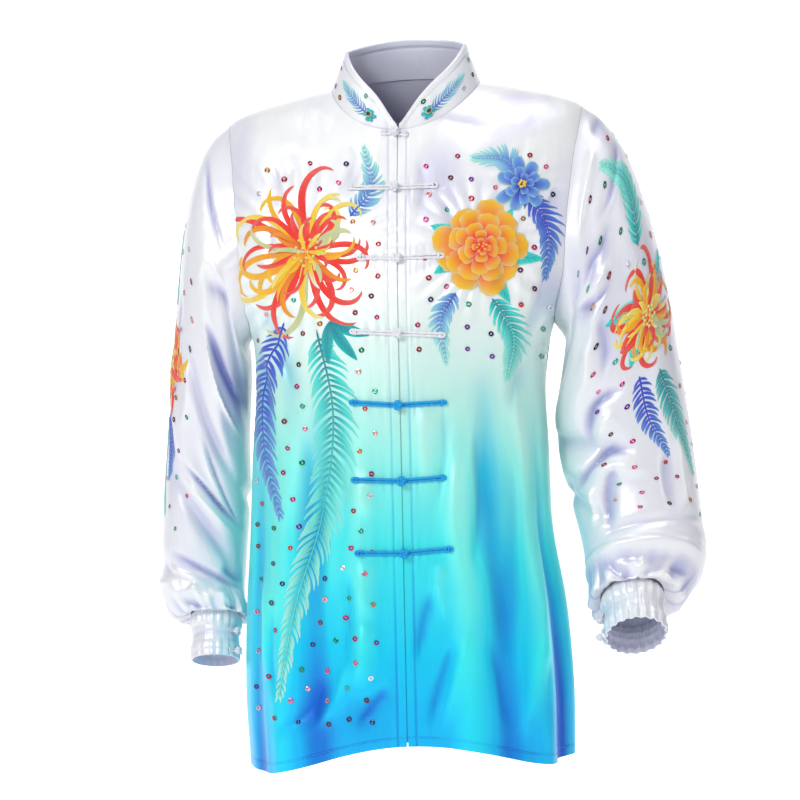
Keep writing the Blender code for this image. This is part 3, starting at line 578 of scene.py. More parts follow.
def crease(points, x, z, left, right):
    """How strongly a crease along a smooth line shows at each point: 1 on the line, falling off to
    each side by its half width there, and eased in and out at the line's ends."""
    path = route(points, CREASE_STEPS + 1)
    reach = 3 * max(left, right)
    low, high = path.min(axis=0) - reach, path.max(axis=0) + reach
    near = (x > low[0]) & (x < high[0]) & (z > low[1]) & (z < high[1])
    px, pz = x[near], z[near]
    best = np.full(px.shape, np.inf)
    hand, share = np.zeros(px.shape), np.zeros(px.shape)
    for k, (start, way) in enumerate(zip(path[:-1], np.diff(path, axis=0))):
        s = np.clip(((px - start[0]) * way[0] + (pz - start[1]) * way[1]) / (way @ way), 0, 1)
        gx, gz = px - start[0] - s * way[0], pz - start[1] - s * way[1]
        gap = np.hypot(gx, gz)
        closer = gap < best
        best = np.where(closer, gap, best)
        hand = np.where(closer, way[0] * gz - way[1] * gx, hand)
        share = np.where(closer, (k + s) / CREASE_STEPS, share)
    strength = np.exp(-((best / np.where(hand > 0, right, left)) ** CREASE_POWER))
    out = np.zeros(np.shape(x))
    out[near] = strength * ease(share / CREASE_IN) * ease((1 - share) / CREASE_OUT)
    return out


def lines(rows, scale=(MM, MM)):
    """Each line's half widths and height in metres, and its points over the scale."""
    for left, right, height, *points in rows:
        yield left / MM, right / MM, height / MM, np.reshape(points, (-1, 2)) / scale


def small_relief(x, z, s, opening):
    """The small creases, the puckers round the heavy embroidery and beside each closure, as waves
    that die away, and the stitched bands."""
    out, front = np.zeros(np.shape(x)), s < 0
    for rows, face in ((FRONT_LINES, front), (BACK_LINES, s > 0)):
        for left, right, height, points in lines(rows):
            out = out + face * height * crease(points, x, z, left, right)
    for f in named(PUCKER_COLUMNS, PUCKERS):
        away = np.hypot(x - f["x"], z - f["z"])
        angle = np.arctan2(z - f["z"], x - f["x"])
        ring = bell(away - f["radius"], f["reach"])
        wave = np.cos(f["waves"] * angle + 2 * np.sin(3 * angle))
        out = out + front * f["height"] * ring * wave
    for f in named(FROG_COLUMNS, FROGS[1:]):
        away = np.abs(opening - f["x"])
        reach = np.exp(-np.abs(z - f["z"]) / PULL_FADE) * ease((PULL_REACH - away) / PULL_END)
        wave = np.cos(opening * 1000 * (0.72 + 3.0 * opening) + 9 * f["z"])
        out = out + np.where(front & (away > PULL_START), PULL_HEIGHT * reach * wave, 0)
    edge = np.abs(opening)
    groove = GROOVE * bell(edge - BAND, GROOVE_HALF)
    return out + np.where(front, BAND_RAISE * ease((BAND - edge) / BAND_STEP) - groove, 0)


def armhole(side, theta):
    """The armhole's seam on the body, at the turn theta round the arm (0 the shoulder, a quarter
    turn the front, half a turn the armpit)."""
    t = ARMHOLE_MIDDLE + ARMHOLE_REACH * np.cos(theta)
    turn = ARMHOLE_TURN * np.sin(theta)
    phi = -turn if side == "left" else math.pi + turn
    return body(phi, t)


def sleeve_section(side, theta, v):
    """Points of a sleeve's sections: ellipses with fuller corners, each through its outer and its
    inner point, with the creases and gathers."""
    at = {name: smooth(SLEEVES[side], name, v) for name in SLEEVE_COLUMNS[1:]}
    s, c = np.sin(theta), np.cos(theta)
    lean = np.radians(at["lean_deg"])
    across = np.stack([at["outer"] - at["inner"], 0 * v, at["outer_z"] - at["inner_z"]], -1) / 2
    middle = np.stack([at["outer"] + at["inner"], 2 * at["y"], at["outer_z"] + at["inner_z"]], -1) / 2
    forward = np.stack([0 * v, -np.cos(lean), np.sin(lean)], -1) * at["half_depth"][..., None]
    wide = (c * (1 + SLEEVE_FULL * s * s))[..., None] * across
    deep = (s * (1 + SLEEVE_FULL * c * c))[..., None] * forward
    out = (wide / np.linalg.norm(across, axis=-1, keepdims=True)
           + deep / at["half_depth"][..., None])
    points = middle + wide + deep + out * sleeve_relief(side, theta, v)[..., None]
    return points * np.array([SIDE[side], 1, 1])


def sleeve(side, theta, v):
    """Points of a sleeve's outside: its own sections, moved near v = 0 by what takes the first of
    them to the armhole's seam, so that the sleeve leaves the seam in its own direction."""
    theta, v = np.broadcast_arrays(np.asarray(theta, float), np.asarray(v, float))
    seam = armhole(side, theta) + np.array([SIDE[side] * SEAM, 0, 0])
    hold = (1 - ease(v / ARMHOLE_BLEND))[..., None]
    return sleeve_section(side, theta, v) + hold * (seam - sleeve_section(side, theta, 0 * v))


def sleeve_lines(side, theta, v):
    """How far the smaller creases move a sleeve's surface out."""
    out = np.zeros(np.shape(v))
    for left, right, height, points in lines(SLEEVE_LINES[side], (1, MM)):
        turn, down = points.T
        turn = np.radians(turn)
        middle = turn.mean()
        away = half_turned(theta - middle)
        points = np.stack([-SIDE[side] * (turn - middle) * SLEEVE_ROUND, -down * SLEEVE_LENGTH], -1)
        x, z = -SIDE[side] * away * SLEEVE_ROUND, -v * SLEEVE_LENGTH
        out = out + height * crease(points, x, z, left, right)
    return out


def casing(v):
    """The casing's two sewn grooves, and the cloth that falls in under it."""
    out = -CASING_FALL * ease((v - CASING[1]) / CASING_STEP) * (1 - ease((v - CASING_END) / CASING_FADE))
    for seam in CASING:
        out = out - CASING_GROOVE * bell(v - seam, CASING_SEAM)
    return out


def sleeve_creases(side, theta, v):
    """How far the main creases move a sleeve's surface out: a bell curve across each slanting line,
    a little softer than the solids have it, since the smaller creases break it up."""
    out = np.zeros(np.shape(v))
    for f in named(CREASE_COLUMNS, CREASES[side]):
        turn = half_turned(theta - math.radians(f["turn_deg"]))
        a, b = turn * SLEEVE_ROUND, (v - f["v"]) * SLEEVE_LENGTH
        slant = math.radians(f["slant_deg"])
        along = a * math.cos(slant) + b * math.sin(slant)
        off = b * math.cos(slant) - a * math.sin(slant)
        strength = np.exp(-((off / f["half_width"]) ** 2) - (along / f["half_length"]) ** 4)
        out = out + f["height"] * strength
    return CREASE_SOFT * out * ease((1 - v) / CREASE_END)


def sleeve_relief(side, theta, v):
    """The main and the smaller creases, the casing, and the gathers above the cuff, with a finer
    and uneven wave on them."""
    out = sleeve_creases(side, theta, v) + sleeve_lines(side, theta, v) * ease((1 - v) / LINE_END)
    if side == "left":
        out = out + casing(v)
    start = ease((v - GATHER_START) / (GATHER_FULL - GATHER_START))
    gather = start * (1 - ease((v - GATHER_END) / (1 - GATHER_END)))
    fine = np.cos(31 * theta + 3 * np.sin(3 * theta)) * (0.6 + 0.4 * np.sin(5 * theta + 1))
    return out + gather * (SLEEVE_GATHER * np.cos(SLEEVE_GATHERS * theta) + FINE_GATHER * fine)


def cuff(side, theta, down, grow, gather):
    """Points of a cuff's outside: rings that carry on from the sleeve's last section, along the
    arm's own line, with the gathers as waves round it."""
    end = {name: SLEEVES[side][name][-1] for name in SLEEVE_COLUMNS}
    lean = math.radians(end["lean_deg"])
    across = np.array([end["outer"] - end["inner"], 0, end["outer_z"] - end["inner_z"]]) / 2
    middle = np.array([end["outer"] + end["inner"], 2 * end["y"], end["outer_z"] + end["inner_z"]]) / 2
    forward = np.array([0, -math.cos(lean), math.sin(lean)])
    aside = unit(across)
    line = np.cross(aside, forward)
    line = line * (-np.sign(line[2]))
    radius = grow + CUFF_GATHER * gather * np.cos(CUFF_GATHERS * theta)
    taper = 1 - (1 - CUFF_TAPER) * down
    c = np.cos(theta)[..., None] * (np.linalg.norm(across) * taper + radius)[..., None] * aside
    s = np.sin(theta)[..., None] * (end["half_depth"] * taper + radius)[..., None] * forward
    along = (SEAM + CUFF_HEIGHT * down)[..., None] * line
    return (middle + c + s + along) * np.array([SIDE[side], 1, 1])


def normals(surface, u, v, step=1e-4):
    """Unit normals of surface(u, v), from its slopes both ways."""
    du = surface(u + step, v) - surface(u - step, v)
    dv = surface(u, v + step) - surface(u, v - step)
    return unit(np.cross(du, dv))


def on_front(x, z):
    """The turn and height at which the body's front lies at the given x and z, found in a few
    steps along its slopes."""
    phi = np.full(np.shape(x), FRONT)
    t = np.full(np.shape(x), 0.5)
    step = 1e-4
    for _ in range(9):
        here = body(phi, t, 0)
        a = (body(phi + step, t, 0) - here) / step
        b = (body(phi, t + step, 0) - here) / step
        dx, dz = x - here[..., 0], z - here[..., 2]
        det = a[..., 0] * b[..., 2] - a[..., 2] * b[..., 0]
        phi = phi + np.clip((dx * b[..., 2] - dz * b[..., 0]) / det, -0.5, 0.5)
        t = np.clip(t + (dz * a[..., 0] - dx * a[..., 2]) / det, 0, 1)
    return phi, t


def on_body(phi, t, lift):
    """Points lift above the body's outside, along its normal, and the normals themselves."""
    out = normals(body, phi, t)
    return body(phi, t) + lift[..., None] * out, out


def on_sleeve(side, theta, v, lift):
    """Points lift above a sleeve's outside, along its normal, and the normals themselves."""
    out = normals(lambda a, b: sleeve(side, a, b), theta, v) * SIDE[side]
    return sleeve(side, theta, v) + lift[..., None] * out, out


def grid_faces(rows, columns, start=0, wrap=False):
    """Quads of a grid whose first point has the index start, row by row."""
    count = columns if wrap else columns - 1
    r, c = np.meshgrid(np.arange(rows - 1), np.arange(count), indexing="ij")
    a = start + r * columns + c
    b = start + r * columns + (c + 1) % columns
    return np.stack([a, b, b + columns, a + columns], -1).reshape(-1, 4)


def copies(one, number, size):
    """The quads of many shapes, each of size points and with the quads of the one given."""
    return (np.arange(number)[:, None, None] * size + one[None]).reshape(-1, 4)


def strip_faces(line, other, wrap):
    """Quads between two lines of point indices."""
    if wrap:
        line, other = np.append(line, line[0]), np.append(other, other[0])
    return np.stack([line[:-1], line[1:], other[1:], other[:-1]], -1)


def placed(name, data):
    """An object of that name in the scene."""
    made = bpy.data.objects.new(name, data)
    bpy.context.scene.collection.objects.link(made)
    return made


def piece(name, points, faces, finish, attributes=None):
    """An object from arrays of points and quads, with an attribute for each named array of numbers
    (one a point) or of colours (three a point). Points at one place are merged and the faces are
    turned outwards."""
    mesh = bpy.data.meshes.new(name)
    mesh.vertices.add(len(points))
    mesh.vertices.foreach_set("co", np.asarray(points, np.float32).ravel())
    mesh.loops.add(faces.size)
    mesh.loops.foreach_set("vertex_index", np.asarray(faces, np.int32).ravel())
    mesh.polygons.add(len(faces))
    mesh.polygons.foreach_set("loop_start", np.arange(0, faces.size, 4, dtype=np.int32))
    mesh.update(calc_edges=True)
    for label, values in (attributes or {}).items():
        if values.ndim == 2:
            colours = mesh.color_attributes.new(label, "FLOAT_COLOR", "POINT")
            rgba = np.concatenate([values, np.ones((len(values), 1))], axis=1)
            colours.data.foreach_set("color", np.asarray(rgba, np.float32).ravel())
        else:
            numbers = mesh.attributes.new(label, "FLOAT", "POINT")
            numbers.data.foreach_set("value", np.asarray(values, np.float32).ravel())
    work = bmesh.new()
    work.from_mesh(mesh)
    bmesh.ops.remove_doubles(work, verts=work.verts, dist=SAME_POINT)
    bmesh.ops.recalc_face_normals(work, faces=work.faces)
    work.to_mesh(mesh)
    work.free()
    mesh.shade_smooth()
    mesh.set_sharp_from_angle(angle=SHARP)
    mesh.materials.append(finish)
    made = placed(name, mesh)
    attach(made, "root")
    return made


def wall(name, outer, inner, finish, shade, wrap=False):
    """A thin closed shell between two grids of points. wrap joins the last column to the first.
    shade is the painted highlight and shade of each point of the outer grid, and the inner one has
    the same. A further attribute, inner, is 0 on the outer grid and 1 on the inner."""
    rows, columns = outer.shape[:2]
    count = rows * columns
    index = np.arange(count).reshape(rows, columns)
    faces = [grid_faces(rows, columns, 0, wrap), grid_faces(rows, columns, count, wrap)[:, ::-1]]
    for line in (index[0], index[-1]):
        faces.append(strip_faces(line, line + count, wrap))
    if not wrap:
        for line in (index[:, 0], index[:, -1]):
            faces.append(strip_faces(line, line + count, False))
    points = np.concatenate([outer.reshape(-1, 3), inner.reshape(-1, 3)])
    # The painted highlight and shade, the same on both grids, and which grid each point is on
    both = {"fold": np.tile(shade.reshape(-1), 2), "inner": np.repeat([0.0, 1.0], count)}
    return piece(name, points, np.concatenate(faces), finish, both)


def tubes(middles, sides, outs, count, under=1.0):
    """Points and quads of closed tubes round many paths at once. Each ring is an ellipse on two
    half axes, its lower half flattened to the share under, and each end is drawn to a point where
    its half axes are nothing."""
    turn = np.arange(count) * 2 * math.pi / count
    c, s = np.cos(turn), np.sin(turn)
    s = np.where(s < 0, s * under, s)
    rings = (middles[:, :, None] + c[None, None, :, None] * sides[:, :, None]
             + s[None, None, :, None] * outs[:, :, None])
    paths, length = middles.shape[:2]
    return rings.reshape(-1, 3), copies(grid_faces(length, count, 0, True), paths, length * count)


def joined(parts):
    """Several (points, quads) as one."""
    starts = np.cumsum([0] + [len(points) for points, _ in parts[:-1]])
    points = np.concatenate([points for points, _ in parts])
    return points, np.concatenate([faces + start for (_, faces), start in zip(parts, starts)])


class Number:
    """A number on an output of a material's node, so that sums on it are written as sums."""

    def __init__(self, finish, socket):
        self.finish = finish
        self.socket = socket

    def math(self, operation, *values):
        """The Math node of that operation on the values."""
        return self.finish.node("Math", {"operation": operation}, dict(enumerate(values)))

    def __add__(self, other):
        return self.math("ADD", self, other)

    __radd__ = __add__

    def __sub__(self, other):
        return self.math("SUBTRACT", self, other)

    def __mul__(self, other):
        return self.math("MULTIPLY", self, other)

    __rmul__ = __mul__

    def sin(self):
        """The sine of the number, in radians."""
        return self.math("SINE", self)

    def between(self, low, high):
        """0 at low, 1 at high, and a straight line between."""
        sockets = {"Value": self, "From Min": low, "From Max": high}
        return self.finish.node("MapRange", {"clamp": True}, sockets)


class Finish:
    """A material being made: a Principled shader and the nodes that feed it."""

    def __init__(self, name, fixed):
        self.material = bpy.data.materials.new(name)
        self.material.use_nodes = True
        self.tree = self.material.node_tree
        self.shader = self.tree.nodes["Principled BSDF"]
        for socket, value in fixed.items():
            self.shader.inputs[socket].default_value = value

    def node(self, kind, settings=None, sockets=None, out=0):
        """A node of that kind. Its settings are set first, then its sockets get a value or a link.
        A ramp's stops are (place, colour) pairs. Returns its output."""
        made = self.tree.nodes.new("ShaderNode" + kind)
        for name, value in (settings or {}).items():
            if name == "stops":
                self.set_stops(made.color_ramp, value)
            else:
                setattr(made, name, value)
        for socket, value in (sockets or {}).items():
            self.feed(made.inputs[socket], value)
        return Number(self, made.outputs[out])

    def feed(self, socket, value):
        """Links the socket to an output, or sets its value."""
        if isinstance(value, Number):
            self.tree.links.new(value.socket, socket)
        else:
            socket.default_value = value

    def set_stops(self, ramp, stops):
        """Gives a colour ramp its stops."""
        for place, colour in stops[2:]:
            ramp.elements.new(place).color = (*colour, 1)
        for element, (place, colour) in zip(list(ramp.elements)[:1] + list(ramp.elements)[-1:],
                                            (stops[0], stops[1])):
            element.position = place
            element.color = (*colour, 1)

    def place(self):
        """The three Object coordinates."""
        at = self.node("TexCoord", out="Object")
        made = self.node("SeparateXYZ", None, {0: at})
        return [Number(self, made.socket.node.outputs[k]) for k in range(3)]

    def noise(self, scale, stretch=(1, 1, 1), detail=3.0):
        """Noise on Object coordinates, stretched along the axes."""
        at = self.node("TexCoord", out="Object")
        at = self.node("Mapping", None, {"Vector": at, "Scale": stretch})
        return self.node("TexNoise", None, {"Vector": at, "Scale": scale, "Detail": detail})

    def mix(self, first, second, share):
        """Two colours mixed by a share."""
        return self.node("Mix", {"data_type": "RGBA"}, {0: share, 6: first, 7: second}, out=2)

    def attribute(self, name, out="Fac"):
        """An attribute of the mesh: a number, or with out Color a colour."""
        return self.node("Attribute", {"attribute_name": name}, None, out)

    def bump(self, height, distance, strength=1.0):
        """Raises the surface by height times distance."""
        sockets = {"Height": height, "Distance": distance, "Strength": strength}
        self.feed(self.shader.inputs["Normal"], self.node("Bump", None, sockets))

    def colour(self, value):
        """The surface's colour."""
        self.feed(self.shader.inputs["Base Color"], value)

    def rough(self, value):
        """The surface's roughness."""
        self.feed(self.shader.inputs["Roughness"], value)


def rgb(red, green, blue):
    """A colour of 0 to 255 screen values as the linear numbers that a material takes."""
    screen = np.array([red, green, blue]) / 255
    return tuple(np.where(screen < 0.04045, screen / 12.92, ((screen + 0.055) / 1.055) ** 2.4))


# The satin's colour down the body: height, then its colour with painted highlight on the crests,
# its colour between the crests and the troughs, and its colour with painted shade in the troughs.
# The first two rows are the lowest and the highest
SATIN_BOTTOM, SATIN_TOP = -0.76, 0.0
SATIN_COLUMNS = ("height", "crest_highlight", "middle", "trough_shade")
SATIN_SHADES = (
    (-0.76, (16, 216, 250), (0, 174, 244), (0, 84, 202)),
    (0.00, (252, 252, 252), (246, 247, 248), (208, 207, 232)),
    (-0.68, (30, 228, 248), (0, 192, 246), (0, 98, 210)),
    (-0.61, (60, 240, 242), (0, 206, 244), (0, 114, 216)),
    (-0.50, (134, 252, 234), (64, 234, 238), (0, 154, 224)),
    (-0.42, (190, 254, 238), (138, 246, 236), (40, 192, 228)),
    (-0.34, (228, 253, 244), (196, 247, 236), (112, 212, 226)),
    (-0.28, (246, 253, 249), (228, 249, 243), (180, 224, 234)),
    (-0.22, (252, 252, 252), (247, 249, 249), (212, 214, 232)),
)

# The satins' reverse sides: a lavender tone that is partly the reverse's own and partly painted
# shade, and darker painted shade inside the body below the neck
INSIDE_TONE_AND_SHADE = rgb(234, 236, 255)
INSIDE_BODY_SHADE = rgb(118, 116, 160)


def satin_ramp(finish, height, column):
    """A ramp of one column of SATIN_SHADES over the height."""
    where = SATIN_COLUMNS.index(column)
    reach = SATIN_TOP - SATIN_BOTTOM
    stops = [((row[0] - SATIN_BOTTOM) / reach, rgb(*row[where])) for row in SATIN_SHADES]
    return finish.node("ValToRGB", {"stops": stops}, {0: height.between(SATIN_BOTTOM, SATIN_TOP)})


def woven(finish, scale, stretch):
    """Gives a satin its uneven gloss, fine weave and soft small wrinkles. Returns the material."""
    finish.rough(0.30 + 0.12 * finish.noise(60.0, (1, 1, 0.3), 2.0))
    weave = finish.noise(1400.0, (1, 1, 0.4), 1.0)
    wrinkle = finish.noise(scale, stretch, 3.0)
    finish.bump(0.04 * weave + wrinkle, 0.0013, 0.6)
    return finish.material


def satin_shaded():
    """The body's satin. Its colour runs down the body from white to blue, with painted highlight on
    the crests of the folds and painted shade in the troughs, painted sheen and shade in soft streaks
    and broad patches, a faint uneven edge, a fine weave and soft small wrinkles. Its inside is
    painted in shade, darker below the neck."""
    finish = Finish("satin_shaded", {"Specular IOR Level": 0.35, "Sheen Weight": 0.08,
                                     "Metallic": 0.22})
    _, _, z = finish.place()
    cloud = finish.noise(9.0, (1, 1, 0.5), 2.0)
    height = z + (cloud - 0.5) * 0.05
    # The colour down the body, with painted highlight on the crests and painted shade in the troughs
    crest_highlight, middle, trough_shade = [satin_ramp(finish, height, name) for name in SATIN_COLUMNS[1:]]
    # Painted sheen and shade in soft streaks and broad patches
    sheen_streak = finish.noise(30.0, (1, 1, 0.12), 3.0)
    sheen_patch = finish.noise(8.0, (1, 1, 0.7), 1.0)
    share = finish.attribute("fold") + (sheen_streak - 0.5) * 0.4 + (sheen_patch - 0.52) * 0.9
    outside = finish.mix(trough_shade, middle, share.between(0.0, 0.46))
    outside = finish.mix(outside, crest_highlight, share.between(0.56, 0.98))
    # The inside: painted shade, darker below the neck, over the reverse's lavender tone
    inside = finish.mix((*INSIDE_BODY_SHADE, 1), (*INSIDE_TONE_AND_SHADE, 1), z.between(-0.07, 0.02))
    finish.colour(finish.mix(outside, inside, finish.attribute("inner") * 0.85))
    return woven(finish, 70.0, (1, 1, 0.35))


# The white satin, in lavender painted shade in its deepest troughs and white on its crests, the two
# ends first
WHITE_SHADE_STOPS = (
    (0.00, rgb(138, 146, 200)),
    (1.00, rgb(246, 247, 246)),
    (0.22, rgb(198, 199, 225)),
    (0.46, rgb(232, 233, 240)),
)


def satin_white():
    """The sleeves', collar's and cuffs' satin: white, with lavender painted shade in the troughs and
    painted sheen and shade in soft streaks and broad patches. Its inside has the reverse's lavender
    tone and painted shade."""
    finish = Finish("satin_white", {"Specular IOR Level": 0.4, "Sheen Weight": 0.1,
                                    "Metallic": 0.18})
    # Painted sheen and shade in soft streaks and broad patches
    sheen_streak = finish.noise(24.0, (1, 1, 0.3), 3.0)
    sheen_patch = finish.noise(9.0, (1, 1, 0.7), 1.0)
    share = finish.attribute("fold") + (sheen_streak - 0.5) * 0.3 + (sheen_patch - 0.5) * 0.6
    share = share.between(0.0, 1.0)
    # Lavender painted shade in the troughs, white on the crests
    outside = finish.node("ValToRGB", {"stops": WHITE_SHADE_STOPS}, {0: share})
    # The inside in the reverse's lavender tone and painted shade
    finish.colour(finish.mix(outside, (*INSIDE_TONE_AND_SHADE, 1), finish.attribute("inner") * 0.75))
    return woven(finish, 60.0, (1, 1, 0.5))


def cord_finish(name, light, dark):
    """A satin cord's finish: fine slanting threads, darker between them."""
    finish = Finish(name, {"Specular IOR Level": 0.4, "Sheen Weight": 0.1})
    x, _, z = finish.place()
    thread = ((x + z) * 5200.0).sin() * 0.5 + 0.5
    finish.colour(finish.mix((*dark, 1), (*light, 1), 0.35 + 0.65 * thread))
    finish.rough(0.42 + 0.1 * finish.noise(300.0))
    finish.bump(thread, 0.0002, 0.6)
    return finish.material


def thread_finish():
    """The embroidery's finish: its own colours, in fine threads laid across each shape on a slant,
    with a silky shine."""
    finish = Finish("embroidery_thread", {"Specular IOR Level": 0.5, "Sheen Weight": 0.3})
    along, aside = finish.attribute("along"), finish.attribute("aside")
    thread = ((along + 0.6 * aside) * (2 * math.pi / THREAD_STEP)).sin() * 0.5 + 0.5
    tone = finish.attribute("tone", "Color")
    shade = 0.76 + 0.24 * thread
    finish.colour(finish.mix((0, 0, 0, 1), tone, shade))
    finish.rough(0.36 + 0.16 * finish.noise(400.0))
    finish.bump(thread, 0.00025, 0.6)
    return finish.material


def sequin_finish():
    """The ring sequins' finish: shiny coloured film."""
    finish = Finish("sequin_film", {"Specular IOR Level": 0.8, "Coat Weight": 0.6})
    finish.colour(finish.attribute("tone", "Color"))
    finish.shader.inputs["Metallic"].default_value = 0.70
    finish.rough(0.16 + 0.12 * finish.noise(900.0))
    return finish.material


def body_rows():
    """The heights of the shells' rows: close together over the turned hem, then even, then spaced
    over the armhole like points round a circle, so that the sleeve's first ring has the same."""
    hem = np.linspace(0, HEM_T, HEM_ROWS + 1)[:-1]
    low = np.linspace(HEM_T, ARMPIT_T, LOW_ROWS + 1)[:-1]
    turn = np.linspace(math.pi, 0, ARM_ROWS + 1)
    top = np.linspace(SHOULDER_T, 1, TOP_ROWS + 1)[1:]
    return np.concatenate([hem, low, ARMHOLE_MIDDLE + ARMHOLE_REACH * np.cos(turn), top])


def side_edge(t, depth):
    """How far a panel stops short of the side line, as a turn: half the seam's gap, the armhole,
    or the vent that opens towards the hem."""
    inside = np.clip(1 - ((t - ARMHOLE_MIDDLE) / ARMHOLE_REACH) ** 2, 0, 1)
    vent = VENT_OPEN / 2 * np.clip((VENT_T - t) / VENT_T, 0, 1)
    return ARMHOLE_TURN * np.sqrt(inside) + (SEAM / 2 + vent) / depth


def front_edge(t, side, gap):
    """The turn at which a front panel's edge lies gap from the opening's middle."""
    half = smooth(BODY, side, t) * (1 + smooth(BODY, "full", t))
    return SIDE[side] * np.arcsin(gap / half)


def shade_of(relief):
    """How light the satin is painted where its surface is moved out by relief: half way where it isn't
    moved, towards 1 on the crests for painted highlight, and towards 0 in the troughs for painted
    shade."""
    return 0.5 + 0.5 * np.tanh(relief / FOLD_SHADE)


# Painted shade in soft patches on the chest, where the satin turns from the light: across, height,
# half width and half height of each, and how much darker it is painted
SHADE_PATCH_COLUMNS = ("x", "z", "wide", "high", "depth")
SHADE_PATCHES = (
    (0.131, -0.036, 0.055, 0.032, 0.42),
    (0.173, -0.134, 0.030, 0.060, 0.30),
    (0.041, -0.102, 0.025, 0.040, 0.30),
    (0.088, -0.176, 0.050, 0.030, 0.25),
    (0.165, -0.240, 0.018, 0.040, 0.40),
    (-0.175, -0.110, 0.022, 0.060, 0.22),
)


def painted_shade_patches(phi, t):
    """How much darker the front is painted at each point: painted shade in a soft bell round each
    patch.
    """
    place = body(phi, t)
    dark = np.zeros(np.shape(phi))
    for shade_spot in named(SHADE_PATCH_COLUMNS, SHADE_PATCHES):
        across = (place[..., 0] - shade_spot["x"]) / shade_spot["wide"]
        up = (place[..., 2] - shade_spot["z"]) / shade_spot["high"]
        dark = np.maximum(dark, shade_spot["depth"] * np.exp(-(across**2) - up**2))
    return dark * np.clip(-3 * np.sin(phi), 0, 1)


def fold_shade(phi, t, outwards):
    """How light the body's satin is painted at each point: painted highlight and shade from its folds
    and small creases, painted shade along the stitched lines of the front bands and the hem, and
    painted shade in soft patches on the chest."""
    small = np.sum((body(phi, t) - body(phi, t, 0)) * outwards, axis=-1)
    half = np.where(np.cos(phi) > 0, smooth(BODY, "left", t), smooth(BODY, "right", t))
    edge = np.abs(half * np.cos(phi) * (1 + smooth(BODY, "full", t) * np.sin(phi) ** 2))
    line = bell(edge - BAND, GROOVE_HALF) * (np.sin(phi) < 0)
    hem = bell(t - HEM_STITCH_T, HEM_STITCH_HALF)
    shade = shade_of(BODY_SHADE * body_relief(phi, t) + small)
    return shade - BAND_SHADE * np.maximum(line, hem) - painted_shade_patches(phi, t)


def panel(name, first, last, share, rows, finish, thick=CLOTH, inset=0.0):
    """A cloth panel between two turns, one for each row, as a thin shell that grows inwards. share
    places its columns from the first turn to the last."""
    phi = first[:, None] + (last - first)[:, None] * share
    t = np.repeat(rows[:, None], len(share), axis=1)
    outwards = normals(body, phi, t)
    outer = body(phi, t) - inset * outwards
    # Each point's painted highlight and shade goes with the shell
    return wall(name, outer, outer - thick * outwards, finish, fold_shade(phi, t, outwards))


def build_body(satin):
    """The two fronts, which meet at the centre, the back and the underlap behind the opening."""
    t = body_rows()
    front, back = smooth(BODY, "front", t), smooth(BODY, "back", t)
    near = np.linspace(0, EDGE_SHARE, EDGE_COLUMNS + 1)[:-1]
    share = np.concatenate([near, np.linspace(EDGE_SHARE, 1, FRONT_COLUMNS + 1)])
    left = panel("front_left_satin", FRONT + front_edge(t, "left", FRONT_GAP),
                 2 * math.pi - side_edge(t, front), share, t, satin)
    right = panel("front_right_satin", FRONT + front_edge(t, "right", FRONT_GAP),
                  math.pi + side_edge(t, front), share, t, satin)
    share = np.linspace(0, 1, BACK_COLUMNS + 1)
    rear = panel("back_satin", side_edge(t, back), math.pi - side_edge(t, back), share, t, satin)
    rows = np.linspace(*UNDERLAP_ENDS, UNDERLAP_ROWS)
    under = panel("underlap_satin", FRONT + front_edge(rows, "right", UNDERLAP_HALF),
                  FRONT + front_edge(rows, "left", UNDERLAP_HALF), np.linspace(0, 1, 9), rows,
                  satin, UNDERLAP_CLOTH, UNDERLAP_INSET)
    return left, right, rear, under


def build_sleeve(side, satin):
    """A sleeve, whose first ring is the armhole's, as a shell that grows inwards."""
    theta = np.arange(SLEEVE_COUNT) * 2 * math.pi / SLEEVE_COUNT
    theta, v = np.meshgrid(theta, np.linspace(0, 1, SLEEVE_ROWS + 1))
    step = 1e-3
    du = sleeve(side, theta + step, v) - sleeve(side, theta - step, v)
    dv = sleeve(side, theta, np.minimum(v + step, 1)) - sleeve(side, theta, np.maximum(v - step, 0))
    outer = sleeve(side, theta, v)
    inwards = unit(np.cross(dv, du) * SIDE[side])
    across = unit((outer.mean(axis=1, keepdims=True) - outer) * np.array([0, 1, 1]))
    hold = (1 - ease(v / ARMHOLE_TURN_IN))[..., None]
    inwards = unit(inwards * (1 - hold) + across * hold)
    # Painted highlight and shade from the relief, in which the main creases count less
    calm = (1 - MAIN_SHADE) * sleeve_creases(side, theta, v)
    shade = shade_of(sleeve_relief(side, theta, v) - calm)
    return wall(f"sleeve_{side}_satin", outer, outer + CLOTH * inwards, satin, shade, True)


def cuff_shape(side, theta, down):
    """A cuff's growth and gathers down it: the table's sections, with small uneven puckers and a
    groove at each row of elastic. The right cuff lies smoother over its lower half."""
    shape = table(CUFF_COLUMNS, CUFF_SECTIONS)
    grow, gather = smooth(shape, "grow", down), smooth(shape, "gather", down)
    pucker = np.cos(47 * theta + 2.5 * np.sin(4 * theta)) * (0.6 + 0.4 * np.cos(7 * theta + 5 * down))
    calm = 1 - (1 - CUFF_CALM[side]) * ease(down / 0.4)
    gather = gather * calm
    grow = grow + CUFF_PUCKER * pucker * calm * ease(down / 0.1)
    for place in CUFF_ELASTIC:
        grow = grow - CUFF_GROOVE * bell(down - place, CUFF_GROOVE_HALF)
    return grow, gather


